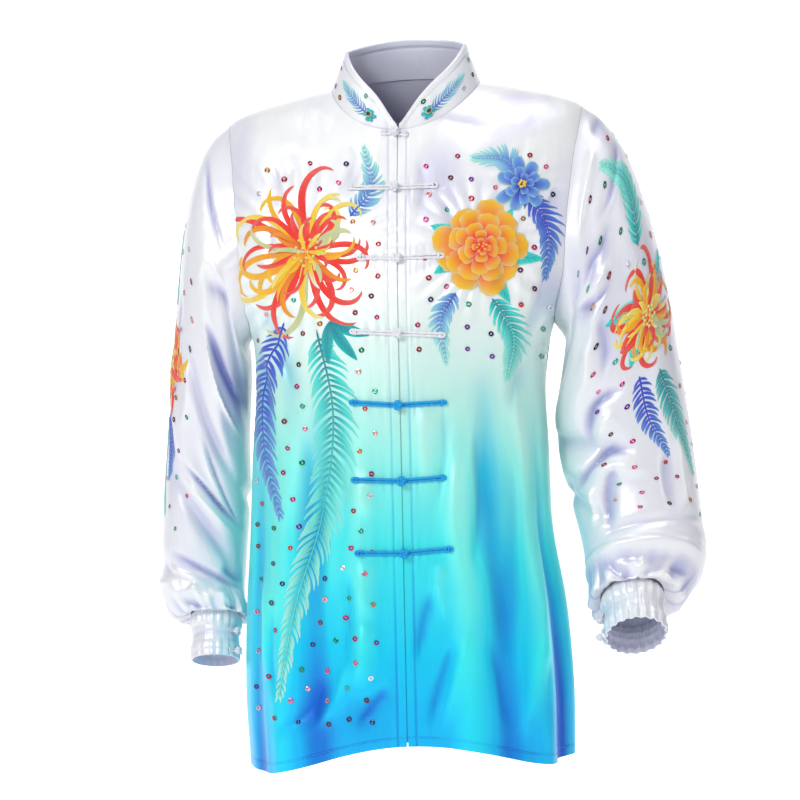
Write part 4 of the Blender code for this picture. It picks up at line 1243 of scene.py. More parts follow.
def build_cuff(side, satin):
    """A cuff: a shirred band with its gathers, grooves and puckers."""
    theta = np.arange(CUFF_COUNT) * 2 * math.pi / CUFF_COUNT
    theta, down = np.meshgrid(theta, np.linspace(0, 1, CUFF_ROWS + 1))
    grow, gather = cuff_shape(side, theta, down)
    outer = cuff(side, theta, down, grow, gather)
    inner = cuff(side, theta, down, grow - CUFF_CLOTH, gather)
    # Painted highlight and shade from the cuff's grooves and puckers, and the cuff painted lighter
    # overall
    return wall(f"cuff_{side}_satin", outer, inner, satin, shade_of(grow) + CUFF_LIGHT, True)


def collar_height(phi):
    """The collar's height, which falls in a round corner to its ends at the centre front."""
    arc = np.abs(half_turned(phi - FRONT)) * BODY["front"][-1]
    rise = 1 - np.exp(-((arc / COLLAR_CORNER) ** COLLAR_CORNER_POWER))
    return COLLAR_END + (COLLAR_HEIGHT - COLLAR_END) * rise


def collar_point(phi, up, inset):
    """Points of the collar, which stands on the neck seam and leans in towards the neck."""
    foot = body(phi, np.ones(np.shape(phi)))
    radial = np.stack([np.cos(phi), np.sin(phi), 0 * phi], -1)
    lean = COLLAR_LEAN
    rise = np.array([0, 0, math.cos(lean)]) - math.sin(lean) * radial
    thick = math.cos(lean) * radial + np.array([0, 0, math.sin(lean)])
    return foot + (SEAM + up)[..., None] * rise - inset[..., None] * thick


def build_collar(satin):
    """The stand collar: a band whose bound top edge stands a little proud and is rounded over."""
    end = float(front_edge(np.array(1.0), "left", 2 * FRONT_GAP))
    phi = np.linspace(FRONT - 2 * math.pi + end, FRONT - end, COLLAR_COLUMNS + 1)
    share = 1 - (1 - np.linspace(0, 1, COLLAR_ROWS + 1)) ** 1.8
    turn, share = np.meshgrid(phi, share)
    height = collar_height(turn)
    below = (1 - share) * height
    line = bell(below - BIND, GROOVE_HALF)
    near = np.clip(BIND_ROUND - below, 0, None)
    over = BIND_ROUND - np.sqrt(np.clip(BIND_ROUND**2 - near**2, 0, None))
    out = BIND_RAISE * ease((BIND - below) / BAND_STEP) - GROOVE * line - 0.9 * over
    outer = collar_point(turn, share * height, -out)
    inner = collar_point(turn, share * height, COLLAR_CLOTH + out)
    # Painted shade: lighter and darker in a wave round the neck, darker along the binding's groove and
    # at the collar's foot
    foot = np.exp(-share * height / COLLAR_FOOT_SHADE)
    shade = COLLAR_LIGHT + COLLAR_SHADE_WAVE * np.sin(5 * turn + 1) - BAND_SHADE * np.maximum(line, foot)
    return wall("collar_satin", outer, inner, satin, shade)


def knot_path(centre, up, radius, count):
    """A woven button knot's cord: it winds three times round a ball while it swings four times
    over and under the ball's middle, and dips in and out where it crosses itself."""
    along = unit(np.cross(up, np.array([0, 0, 1.0])))
    across = np.cross(up, along)
    turn = np.linspace(0, 2 * math.pi, count)
    round_it, swing = 3 * turn, KNOT_SWING * np.cos(4 * turn)
    away = radius * (1 - KNOT_CORD + KNOT_DIP * np.sin(8 * turn))
    flat = away * np.cos(swing)
    return (centre + (flat * np.cos(round_it))[:, None] * along
            + (flat * np.sin(round_it))[:, None] * across + (away * np.sin(swing))[:, None] * up)


def round_cord(path, out, radius, count=8):
    """A round closed cord along a path, drawn to a point at both ends."""
    way = unit(np.gradient(path, axis=0))
    across = unit(np.cross(out, way))
    up = np.cross(way, across)
    size = np.full(len(path), radius)
    size[0] = size[-1] = 0
    return tubes(path[None], (across * size[:, None])[None], (up * size[:, None])[None], count)


def ball(centre, radius, rows=8, count=14):
    """A small closed ball: circles of latitude from pole to pole."""
    up, turn = np.meshgrid(np.linspace(-math.pi / 2, math.pi / 2, rows),
                           np.arange(count) * 2 * math.pi / count, indexing="ij")
    points = np.stack([np.cos(up) * np.cos(turn), np.cos(up) * np.sin(turn), np.sin(up)], -1)
    return centre + radius * points.reshape(-1, 3), grid_faces(rows, count, 0, True)


def woven_knot(centre, up, radius, count, sides):
    """A woven knot's cord and the ball inside it."""
    path = knot_path(centre, up, radius, count)
    return [round_cord(path, path - centre, KNOT_CORD * radius, sides), ball(centre, radius * KNOT_BALL)]


def hairpin(start, end, turn, count):
    """A doubled cord that runs straight from start to end, round a bend and back: how far along
    each point lies, and on which side of the middle, from -1 to 1."""
    straight = np.linspace(start, end - turn, count)
    bend = np.linspace(-math.pi / 2, math.pi / 2, 9)[1:-1]
    away = np.concatenate([straight, end - turn + turn * np.cos(bend), straight[::-1]])
    return away, np.concatenate([np.full(count, -1.0), np.sin(bend), np.full(count, 1.0)])


def corded(node, parts, finish):
    """Makes the cord piece that stands for a node."""
    made = piece(f"{node}_cord", *joined(parts), finish)
    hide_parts(node)


def frog_middle(frog):
    """How far across the front a closure's knot lies, beside the opening, which sways down it."""
    t = float(on_front(np.array(0.0), np.array(frog["z"]))[1])
    return HEM_SWAY + (NECK_SWAY - HEM_SWAY) * t + frog["x"]


def frog_parts(frog, way):
    """One half of a closure: a double cord that goes out from the knot along the front, turns round
    at its tip and comes back, with a rolled wrap near the tip. way is -1 for the loop half on the
    wearer's right and 1 for the knot half on the left."""
    half = "knot" if way > 0 else "loop"
    length, rise, middle = frog[half], frog[f"{half}_rise"], frog_middle(frog)
    away, aside = hairpin(CORD_START, length, CORD_TURN, 22)
    swell = 1 + TIP_SWELL * bell(away - length + TIP_PLACE, TIP_HALF)
    x = middle + way * away
    z = frog["z"] + rise * away / length + aside * STRAND * 0.98 * swell
    path, out = on_body(*on_front(x, z), LIFT + STRAND * swell)
    parts = [round_cord(path, out, STRAND)]
    turn = np.linspace(0, 2 * math.pi, 26)
    for place in WRAPS:
        at = length - place
        spot = on_front(np.array([middle + way * at]), np.array([frog["z"] + rise * at / length]))
        centre, out = on_body(*spot, np.array([LIFT + STRAND]))
        wrap = (centre + 1.9 * STRAND * np.cos(turn)[:, None] * np.array([0, 0, 1])
                + 1.35 * STRAND * np.sin(turn)[:, None] * out)
        parts.append(round_cord(wrap, np.array([1.0, 0, 0]), 0.8 * STRAND, 6))
    return parts


def build_frogs(white, blue):
    """The seven closures down the centre front, white above and blue below, each half an object of
    its own. The knot goes with the half on the wearer's left."""
    for number, frog in enumerate(named(FROG_COLUMNS, FROGS), start=1):
        finish, slot = (white, "cord_white") if number <= WHITE_FROGS else (blue, "cord_blue")
        corded(f"frog_{number}_loop", frog_parts(frog, -1), finish)
        spot = on_front(np.array([frog_middle(frog)]), np.array([frog["z"]]))
        centre, out = on_body(*spot, np.array([LIFT + KNOT_RADIUS]))
        knot = woven_knot(centre[0], out[0], KNOT_RADIUS, 190, 7)
        corded(f"frog_{number}_knot", frog_parts(frog, 1) + knot, finish)


def over_cuff(side, theta, down, grow):
    """Points over a cuff whose radius grows by grow, and the way out from it there."""
    here = cuff(side, theta, down, grow, 0 * theta)
    return here, unit(here - cuff(side, theta, down, grow - 0.002, 0 * theta))


def build_cuff_knots(side, finish):
    """Two small closures on the inner side of a cuff: a double cord with a woven knot."""
    shape = table(CUFF_COLUMNS, CUFF_SECTIONS)
    turn = math.radians(CUFF_KNOT_DEG[side])
    for number, down in enumerate(CUFF_KNOTS_DOWN, start=1):
        gather = np.interp(down, shape["down"], shape["gather"])
        base = np.interp(down, shape["down"], shape["grow"]) + CUFF_GATHER * gather + LIFT
        away, aside = hairpin(CUFF_TURN - CUFF_LOOP, CUFF_LOOP, CUFF_TURN, 24)
        place = np.full(len(away), down) + aside * CUFF_CORD / CUFF_HEIGHT
        grow = np.full(len(away), base + CUFF_CORD)
        path, out = over_cuff(side, turn + away / CUFF_RADIUS, place, grow)
        high = np.array([base + CUFF_KNOT_RADIUS])
        centre, up = over_cuff(side, np.array([turn]), np.array([down]), high)
        parts = [round_cord(path, out, CUFF_CORD, 6)]
        parts += woven_knot(centre[0], up[0], CUFF_KNOT_RADIUS, 150, 6)
        corded(f"cuff_knot_{side}_{number}", parts, finish)


def stitches(surface, first, second):
    """Stitches along a line on a surface, as small raised dashes: one each STITCH_STEP of the
    line's length, each a short closed cord lying along it."""
    line, out = surface(first, second)
    far = np.concatenate([[0], np.cumsum(np.linalg.norm(np.diff(line, axis=0), axis=1))])
    middle = np.arange(STITCH_STEP / 2, far[-1], STITCH_STEP)
    at = middle[:, None] + STITCH_HALF * np.array([-1, -0.7, 0.7, 1])[None]
    path = np.stack([np.interp(at, far, line[:, k]) for k in range(3)], axis=-1)
    up = unit(np.stack([np.interp(at, far, out[:, k]) for k in range(3)], axis=-1))
    way = unit(path[:, -1:] - path[:, :1])
    size = STITCH_RADIUS * np.array([0, 1, 1, 0])[None, :, None]
    return tubes(path, np.cross(way, up) * size, up * size, 5)


# Stitch lines: where the bands' run from and to, how far the collar's lies under its binding and
# stops before the centre, how far the hem's does, points along each, and their share of the crests'
# painted highlight
STITCH_ENDS = (0.004, 0.985)
STITCH_BELOW = 0.0006
COLLAR_BARE, HEM_GAP = 0.22, 0.01
LONG_STEPS, HEM_STEPS, VENT_STEPS = 900, 700, 300
STITCH_HIGHLIGHT = 0.9


def stitched(name, parts, finish):
    """Makes one piece of stitch lines, painted in the satin's highlight colour."""
    count = sum(len(points) for points, _ in parts)
    made = piece(name, *joined(parts), finish, {"fold": np.full(count, STITCH_HIGHLIGHT)})
    slot_of(name)


def build_stitches(finish_shaded, finish_white):
    """The stitch lines: down both front bands, along both sides of the vents and the hem, and on
    the collar under its binding."""
    def on(phi, t):
        """The body's outside."""
        return on_body(phi, t, np.full(np.shape(phi), 0.0))

    t = np.linspace(*STITCH_ENDS, LONG_STEPS)
    front, back = smooth(BODY, "front", t), smooth(BODY, "back", t)
    parts = [stitches(on, FRONT + front_edge(t, "left", BAND), t),
             stitches(on, FRONT + front_edge(t, "right", BAND), t)]
    low = np.linspace(STITCH_ENDS[0], VENT_T, VENT_STEPS)
    for depth, sign, start in ((smooth(BODY, "front", low), -1, 2 * math.pi),
                               (smooth(BODY, "front", low), 1, math.pi),
                               (smooth(BODY, "back", low), 1, 0.0),
                               (smooth(BODY, "back", low), -1, math.pi)):
        edge = side_edge(low, depth) + BAND / depth
        parts.append(stitches(on, start + sign * edge, low))
    flat = np.full(HEM_STEPS, HEM_STITCH_T)
    at_front, at_back = side_edge(flat, front[0])[0], side_edge(flat, back[0])[0]
    for first, last in ((FRONT + HEM_GAP, 2 * math.pi - at_front), (math.pi + at_front, FRONT - HEM_GAP),
                        (at_back, math.pi - at_back)):
        parts.append(stitches(on, np.linspace(first, last, HEM_STEPS), flat))
    stitched("body_stitches", parts, finish_shaded)

    def on_collar(phi, below):
        """The collar's outside at a turn and a distance under its top edge."""
        here = collar_point(phi, collar_height(phi) - below, 0 * phi)
        return here, unit(here - collar_point(phi, collar_height(phi) - below, 0.001 + 0 * phi))

    phi = np.linspace(FRONT - 2 * math.pi + COLLAR_BARE, FRONT - COLLAR_BARE, LONG_STEPS)
    lines_on = [stitches(on_collar, phi, np.full(LONG_STEPS, BIND + STITCH_BELOW))]
    stitched("collar_stitches", lines_on, finish_white)


# Thread colours
RED, CORAL, ORANGE = rgb(250, 36, 20), rgb(248, 100, 88), rgb(248, 132, 4)
YELLOW, STRAW, OLIVE = rgb(255, 208, 0), rgb(252, 240, 140), rgb(196, 206, 150)
AMBER, RUST, CREAM = rgb(252, 168, 6), rgb(226, 70, 8), rgb(226, 226, 168)
TEAL, AQUA, MINT = rgb(0, 178, 184), rgb(0, 226, 220), rgb(176, 252, 236)
PINE, ROYAL, SKY = rgb(0, 140, 156), rgb(52, 78, 214), rgb(112, 172, 232)
NIGHT, SNOW = rgb(22, 24, 70), rgb(244, 248, 250)

# Sequin colours, the commonest first
SEQUIN_TONES = tuple(rgb(*shade) for shade in (
    (190, 0, 110), (150, 10, 40), (210, 10, 30), (110, 20, 150), (0, 130, 80), (40, 30, 90),
    (190, 120, 20), (240, 110, 150), (235, 235, 240), (90, 20, 40), (60, 170, 140), (240, 170, 170)))


def profile(s, rise, fall):
    """How wide a shape is along itself: s to the power rise times (1 - s) to the power fall, over
    its own greatest value."""
    top = rise / (rise + fall)
    return s**rise * (1 - s) ** fall / (top**rise * (1 - top) ** fall)


def swept(start, heading, length, bow, curl, sections):
    """Spines of many shapes at once. Each leaves its start on its heading (0 is towards the
    wearer's left, a quarter turn is up), and turns by bow evenly and by curl with the cube of the
    way along it."""
    s = np.linspace(0, 1, sections)
    heading, length, bow, curl = np.broadcast_arrays(heading, length, bow, curl)
    turn = heading[:, None] + bow[:, None] * s + curl[:, None] * s**3
    step = length[:, None] / (sections - 1)
    moves = np.stack([np.cos(turn), np.sin(turn)], -1) * step[..., None]
    moves[:, 0] = 0
    return np.broadcast_to(start, (len(heading), 2))[:, None] + np.cumsum(moves, axis=1)


def sewn(spine, half, tones, lift, bulge=0.0005, count=8):
    """Satin-stitched shapes along spines in a flat design. Each is a low rounded ridge: rings of
    count points, half wide and bulge high, on a face at lift. tones are its colours at the base,
    the middle, the tip and the rim, one row a shape. Returns place, height, tone and thread
    coordinates of each point, and the quads."""
    shapes, length = spine.shape[:2]
    turn = np.arange(count) * 2 * math.pi / count
    way = unit(np.gradient(spine, axis=1) + 1e-12)
    side = np.stack([-way[..., 1], way[..., 0]], -1)
    half = np.broadcast_to(half, (shapes, length))
    wide = np.cos(turn) * half[..., None]
    place = spine[:, :, None] + side[:, :, None] * wide[..., None]
    s = np.sin(turn)
    taper = np.clip(half / (0.3 * half.max(axis=1, keepdims=True)), 0, 1)[..., None]
    high = np.reshape(lift, (-1, 1, 1)) + bulge * taper * np.where(s < 0, 0.3 * s, s)
    high = np.broadcast_to(high, wide.shape)
    s = np.linspace(0, 1, length)[None, :, None]
    base, middle, tip, rim = [np.asarray(tone, float).reshape(-1, 1, 3) for tone in tones]
    tone = np.where(s < 0.5, base + (middle - base) * 2 * s, middle + (tip - middle) * (2 * s - 1))
    edge = np.abs(np.cos(turn))[None, None, :, None] ** 6
    tone = np.broadcast_to(tone[:, :, None], place.shape[:3] + (3,))
    tone = tone + (rim[:, :, None] - tone) * edge * s[..., None]
    far = np.cumsum(np.linalg.norm(np.diff(spine, axis=1, prepend=spine[:, :1]), axis=-1), axis=1)
    along = np.broadcast_to(far[..., None], wide.shape)
    faces = copies(grid_faces(length, count, 0, True), shapes, length * count)
    return (place.reshape(-1, 2), high.reshape(-1), tone.reshape(-1, 3), along.reshape(-1),
            wide.reshape(-1), faces)


def tuft(centre, spread, count, length, half, tones, lift):
    """A flower's middle: small knots of thread in a spiral, each a golden turn on from the last."""
    turn = np.arange(count) * GOLDEN_TURN
    away = spread * np.sqrt(np.arange(count))
    start = np.asarray(centre) + np.stack([away * np.cos(turn), away * np.sin(turn)], -1)
    dots = swept(start, turn, np.full(count, length), 0.0, 0.0, 7)
    return sewn(dots, half * profile(np.linspace(0, 1, 7), 0.5, 0.5), tones, lift, 0.0009, 6)


def chrysanthemum(centre, size, seed, open_right=1.0):
    """A spider chrysanthemum: rings of long narrow petals that curl at their tips, the inner rings
    shorter and higher, round a tuft of small knots. open_right shortens the petals that head for
    the wearer's left."""
    random = np.random.default_rng(seed)
    parts = []
    for count, reach, half, curl, lift in CHRYSANTHEMUM_RINGS:
        heading = (np.arange(count) + random.uniform(-0.32, 0.32, count)) * 2 * math.pi / count
        length = size * reach * random.uniform(0.72, 1.12, count)
        length = length * (1 - (1 - open_right) * ease(np.cos(heading) * 1.2))
        way = random.choice([-1.0, 1.0], count)
        spine = swept(centre, heading, length, way * random.uniform(0.1, 0.7, count),
                      -way * curl * random.uniform(0.6, 1.5, count), 24)
        s = np.linspace(0, 1, 24)
        half = half * random.uniform(0.8, 1.2, (count, 1)) * profile(s, 0.45, 0.55)
        pick = random.choice(len(PETAL_TONES), count, p=PETAL_SHARES)
        tones = [np.array([PETAL_TONES[k][part] for k in pick]) for part in range(3)]
        parts.append(sewn(spine, half, (*tones, tones[2]), lift + random.uniform(0, 0.0002, count)))
    tones = (YELLOW, STRAW, OLIVE, OLIVE)
    parts.append(tuft(centre, size * 0.030, 17, 0.0034, 0.0017, tones, 0.0020))
    return parts


# Rings of the spider chrysanthemum: petals, length, half width, curl and lift
CHRYSANTHEMUM_RINGS = (
    (23, 1.00, 0.0031, 2.6, 0.0003),
    (19, 0.74, 0.0029, 2.2, 0.0007),
    (15, 0.50, 0.0026, 1.6, 0.0011),
    (12, 0.30, 0.0022, 1.0, 0.0015),
)

# The petals' colours, each from its base to its tip
PETAL_TONES = (
    (RED, RED, CORAL), (CORAL, RED, CORAL), (ORANGE, AMBER, YELLOW), (AMBER, YELLOW, STRAW),
    (YELLOW, YELLOW, STRAW), (RUST, ORANGE, AMBER), (CREAM, OLIVE, CREAM), (AMBER, YELLOW, SNOW),
)
PETAL_SHARES = (0.24, 0.14, 0.16, 0.12, 0.09, 0.13, 0.08, 0.04)


def route(points, count):
    """A smooth curve through a few points, evenly along a share of the way."""
    known = {"s": np.linspace(0, 1, len(points)), "x": np.array(points)[:, 0],
             "z": np.array(points)[:, 1]}
    at = np.linspace(0, 1, count)
    return np.stack([smooth(known, "x", at), smooth(known, "z", at)], -1)


def frond(points, leaves, reach, half, tones, lift=0.0003, droop=0.5):
    """A fern-like frond: pairs of slender leaflets along a smooth stem, longest a third of the way
    along it, each sweeping towards its tip."""
    stem = route(points, 240)
    way = np.gradient(stem, axis=0)
    facing = np.unwrap(np.arctan2(way[:, 1], way[:, 0]))
    share = np.linspace(0.03, 0.985, leaves)
    at = (share * 239).astype(int)
    size = reach * (0.25 + 0.75 * np.sin(math.pi * share**0.62) ** 0.8)
    s = np.linspace(0, 1, 12)
    base, middle, tip = [np.asarray(tone) for tone in tones]
    parts = []
    for hand in (-1.0, 1.0):
        spread = hand * (1.15 - 0.55 * share)
        wobble = 0.10 * np.sin(at * 12.9 + hand)
        spine = swept(stem[at], facing[at] + spread + wobble, size * (1 + wobble),
                      -hand * droop * (0.6 + wobble), -hand * 0.3, 12)
        wide = half * (0.6 + 0.4 * size / reach)[:, None] * profile(s, 0.5, 0.8)
        pale = (share**1.5)[:, None]
        shades = [base + (middle - base) * pale, middle + (tip - middle) * pale,
                  middle + (tip - middle) * np.clip(0.5 + pale, 0, 1)]
        parts.append(sewn(spine, wide, (*shades, shades[2]), lift, 0.0004, 6))
    thick = 0.0011 * (1 - 0.7 * np.linspace(0, 1, 60))
    thick[[0, -1]] = 0
    parts.append(sewn(route(points, 60)[None], thick, (base, middle, tip, tip), lift + 0.0004))
    return parts


def leaf(base_point, heading, length, half, tones, lift=0.0003, bow=0.5):
    """Broad pointed leaves with a darker vein down the middle and slanting side veins."""
    heading = np.atleast_1d(np.asarray(heading, float))
    count = len(heading)
    spine = swept(np.asarray(base_point), heading, length, bow, -0.4 * bow, 20)
    s = np.linspace(0, 1, 20)
    wide = np.reshape(half, (-1, 1)) * profile(s, 0.8, 0.9)
    dark, light, rim = [np.tile(np.asarray(tone), (count, 1)) for tone in tones]
    vein = 0.05 * np.reshape(half, (-1, 1)) * profile(s, 0.2, 0.5)
    parts = [sewn(spine, wide, (dark, light, light, rim), lift, 0.0006),
             sewn(spine, vein, (dark, dark, dark, dark), lift + 0.0006, 0.0002, 6)]
    for hand in (-1, 1):
        at = np.arange(3, 17, 2)
        start = spine[:, at].reshape(-1, 2)
        way = np.gradient(spine, axis=1)[:, at].reshape(-1, 2)
        facing = np.arctan2(way[:, 1], way[:, 0]) + hand * 0.6
        size = (wide[:, at] * 1.25).reshape(-1)
        side = swept(start, facing, size, -hand * 0.3, 0.0, 7)
        thin = 0.00035 * profile(np.linspace(0, 1, 7), 0.3, 0.6)
        shade = np.repeat(dark, len(at), axis=0)
        parts.append(sewn(side, thin, (shade, shade, shade, shade), lift + 0.0005, 0.0002, 4))
    return parts


# Rings of the layered flower: petals, length, half width and lift, and how far it lies over leaves
PETAL_LIFT = 0.0007
CAMELLIA_RINGS = (
    (9, 1.00, 0.0150, 0.0003),
    (8, 0.78, 0.0125, 0.0011),
    (7, 0.56, 0.0095, 0.0019),
    (6, 0.36, 0.0064, 0.0026),
    (4, 0.20, 0.0036, 0.0032),
)


def camellia(centre, size, tones, rings=CAMELLIA_RINGS, heart=YELLOW):
    """A layered flower: rings of round petals, each ring turned half a petal on from the last,
    shorter and higher, with a tuft in the middle."""
    parts = []
    for number, (count, reach, half, lift) in enumerate(rings):
        petal = np.arange(count)
        heading = (petal + 0.5 * number + 0.15 * np.sin(petal * 2.1)) * 2 * math.pi / count
        length = size * reach * (1 + 0.08 * np.sin(petal * 3.7))
        spine = swept(centre, heading, length, 0.12, 0.0, 16)
        wide = half * size / 0.05 * profile(np.linspace(0, 1, 16), 0.95, 0.36)
        rise = lift + PETAL_LIFT + 0.00025 * (petal % 2)
        parts.append(sewn(spine, wide, tones, rise, 0.0008, 10))
    parts.append(tuft(centre, size * 0.028, 9, 0.0030, 0.0014, (heart, heart, STRAW, STRAW), 0.0040))
    return parts


def slot_of(name):
    """The slot of the satin that a piece is, or lies on."""
    white = any(word in name for word in ("sleeve", "cuff", "collar"))
    return "satin_white" if white else "satin_shaded"


def embroider(name, groups, surface, finish):
    """One embroidery from its sewn shapes, laid on a surface that takes flat design coordinates and
    a height."""
    place, high, tone, along, aside, _ = [np.concatenate(column) for column in
                                          zip(*[group[:5] + (group[5][:0],) for group in groups])]
    starts = np.cumsum([0] + [len(group[0]) for group in groups[:-1]])
    faces = np.concatenate([group[5] + start for group, start in zip(groups, starts)])
    points = surface(place[:, 0], place[:, 1], high)
    return piece(name, points, faces, finish, {"tone": tone, "along": along, "aside": aside})


def front_surface(x, z, high):
    """The body's front at x and z, high above it."""
    phi, t = on_front(x, z)
    return on_body(phi, t, high)[0]


def sleeve_surface(side, turn_deg, v):
    """A sleeve's outside as a flat design round the turn and height given: x goes round the arm,
    towards the wearer's left as seen from the front, and z up it."""
    def surface(x, z, high):
        """Points on the sleeve."""
        theta = math.radians(turn_deg) - SIDE[side] * x / SLEEVE_ROUND
        return on_sleeve(side, theta, np.clip(v - z / SLEEVE_LENGTH, 0.02, 0.98), high)[0]
    return surface


def collar_surface(x, z, high):
    """The collar's outside: x goes round it from the centre front, and z up from the neck seam."""
    return collar_point(FRONT + x / COLLAR_ROUND, z, -high)


# Fronds in millimetres: leaflets a side, their length and half width, their tones, how they droop,
# and the x and z of the stem's points
FERN, REED, BROAD = (PINE, AQUA, MINT), (PINE, TEAL, MINT), (TEAL, AQUA, MINT)
BLUE, DEEP = (ROYAL, SKY, MINT), (ROYAL, ROYAL, SKY)
FRONDS = {
    "front_right": (
        (56, 36, 2.0, FERN, 0.5, -86, -270, -68, -360, -78, -460, -108, -560, -128, -665),
        (34, 28, 1.9, DEEP, 0.5, -122, -262, -148, -330, -146, -400, -126, -470),
        (18, 20, 1.7, BLUE, 0.5, -52, -150, -30, -118, -40, -74),
    ),
    "front_left": (
        (20, 20, 1.8, BLUE, 0.2, 128, -110, 112, -88, 78, -86),
        (24, 22, 1.8, DEEP, 0.5, 134, -124, 158, -160, 156, -215),
        (24, 24, 1.8, FERN, 0.5, 100, -238, 122, -276, 116, -322),
        (18, 18, 1.7, BLUE, 0.5, 62, -232, 46, -262, 52, -306),
    ),
    "sleeve_left": (
        (24, 24, 1.8, FERN, 0.5, 6, 52, 20, 95, 6, 140),
        (30, 24, 1.8, REED, 0.5, 4, -60, 16, -120, 34, -185),
        (20, 18, 1.7, DEEP, 0.5, -20, -55, -18, -110, -4, -160),
    ),
    "sleeve_right": (
        (20, 20, 1.8, FERN, 0.5, 0, 50, -12, 85, -4, 120),
        (28, 24, 1.8, REED, 0.5, -4, -55, -14, -105, 8, -160),
        (16, 18, 1.7, DEEP, 0.5, 12, -50, 22, -85, 20, -120),
    ),
    "collar_right": ((16, 13, 0.9, BLUE, 0.5, -30, 12, -55, 20, -78, 24),),
    "collar_left": ((16, 13, 0.9, BLUE, 0.5, 30, 12, 55, 20, 78, 24),),
}


def fronds(place):
    """All the fronds of one place."""
    parts = []
    for leaves, reach, half, tones, droop, *points in FRONDS[place]:
        stem = np.reshape(points, (-1, 2)) / MM
        parts += frond(stem, leaves, reach / MM, half / MM, tones, droop=droop)
    return parts


def build_embroidery(finish):
    """The embroidery: a spider chrysanthemum with hanging fronds on the wearer's right front, a
    layered flower and a blue bloom on the left, sprays on the sleeves and sprigs on the collar.
    Returns the design points that the sequins keep clear of."""
    right = chrysanthemum((-0.098, -0.188), 0.116, 3, 0.70) + fronds("front_right")
    right += leaf((-0.072, -0.262), (-0.55, -1.15, -1.8), (0.046, 0.052, 0.046), (0.0062,) * 3,
                  (PINE, TEAL, AQUA))
    left = leaf((0.090, -0.186), (2.5, 3.4, -1.3, -0.35, 0.75), (0.062, 0.058, 0.064, 0.066, 0.055),
                (0.0105, 0.0095, 0.010, 0.009, 0.009), BROAD)
    left += camellia((0.088, -0.184), 0.050, (RED, RED, YELLOW, CREAM)) + fronds("front_left")
    left += camellia((0.130, -0.116), 0.030, (NIGHT, ROYAL, SKY, MINT), IRIS_RINGS)
    spray_left = chrysanthemum((0.0, -0.005), 0.062, 11) + fronds("sleeve_left")
    spray_left += leaf((0.0, 0.0), (0.4, 2.4, 3.9), (0.060, 0.056, 0.050), (0.008,) * 3, BROAD, 0.0002)
    spray_right = chrysanthemum((0.0, -0.004), 0.056, 17) + fronds("sleeve_right")
    sprigs = []
    for hand, place in ((-1, "collar_right"), (1, "collar_left")):
        bud = camellia((hand * 0.029, 0.012), 0.0075, (NIGHT, AQUA, TEAL, SKY), BUD_RINGS, NIGHT)
        sprigs += fronds(place) + bud
    taken = {}
    for place, groups, surface in (("front_right", right, front_surface),
                                   ("front_left", left, front_surface),
                                   ("sleeve_left", spray_left, sleeve_surface("left", 55, 0.34)),
                                   ("sleeve_right", spray_right, sleeve_surface("right", 22, 0.43)),
                                   ("collar", sprigs, collar_surface)):
        name = f"embroidery_{place}"
        made = embroider(name, groups, surface, finish)
        slot_of(name)
        taken[name] = (np.concatenate([group[0] for group in groups])[::3], surface)
    return taken


IRIS_RINGS = (
    (7, 1.00, 0.0110, 0.0003),
    (6, 0.70, 0.0090, 0.0011),
    (5, 0.42, 0.0070, 0.0019),
)
BUD_RINGS = (
    (6, 1.00, 0.0140, 0.0003),
    (5, 0.60, 0.0100, 0.0008),
)

# A sequin's shape: the middle and half width of its ring as shares of its radius, the height of
# its middle over the cloth, and half its thickness
RING_MIDDLE, RING_HALF = 0.68, 0.32
SEQUIN_HIGH, SEQUIN_THICK = 0.0008, 0.00022

# Where the sequins lie in each design: lowest and highest x and z, how many, and how far apart
SEQUIN_COLUMNS = ("low_x", "high_x", "low_z", "high_z", "count", "apart")
SEQUIN_FIELDS = {
    "embroidery_front_right": ((-0.158, -0.020, -0.690, -0.090, 92, 0.021),),
    "embroidery_front_left": ((0.022, 0.165, -0.300, -0.080, 44, 0.021),),
    "embroidery_sleeve_left": ((-0.070, 0.070, -0.235, 0.150, 52, 0.024),),
    "embroidery_sleeve_right": ((-0.060, 0.060, -0.180, 0.130, 36, 0.024),),
    "embroidery_collar": ((-0.100, -0.024, 0.006, 0.032, 4, 0.016),
                          (0.024, 0.100, 0.006, 0.032, 4, 0.016)),
}


def scattered(f, taken, random):
    """Points strewn over the field f by trying places at random and keeping those far enough from
    the shapes and from each other."""
    kept = np.zeros((0, 2))
    for _ in range(TRIES):
        here = np.array([random.uniform(f["low_x"], f["high_x"]),
                         random.uniform(f["low_z"], f["high_z"])])
        if np.min(np.linalg.norm(taken - here, axis=1)) < SEQUIN_CLEAR:
            continue
        if len(kept) and np.min(np.linalg.norm(kept - here, axis=1)) < f["apart"]:
            continue
        kept = np.concatenate([kept, here[None]])
        if len(kept) == f["count"]:
            break
    return kept


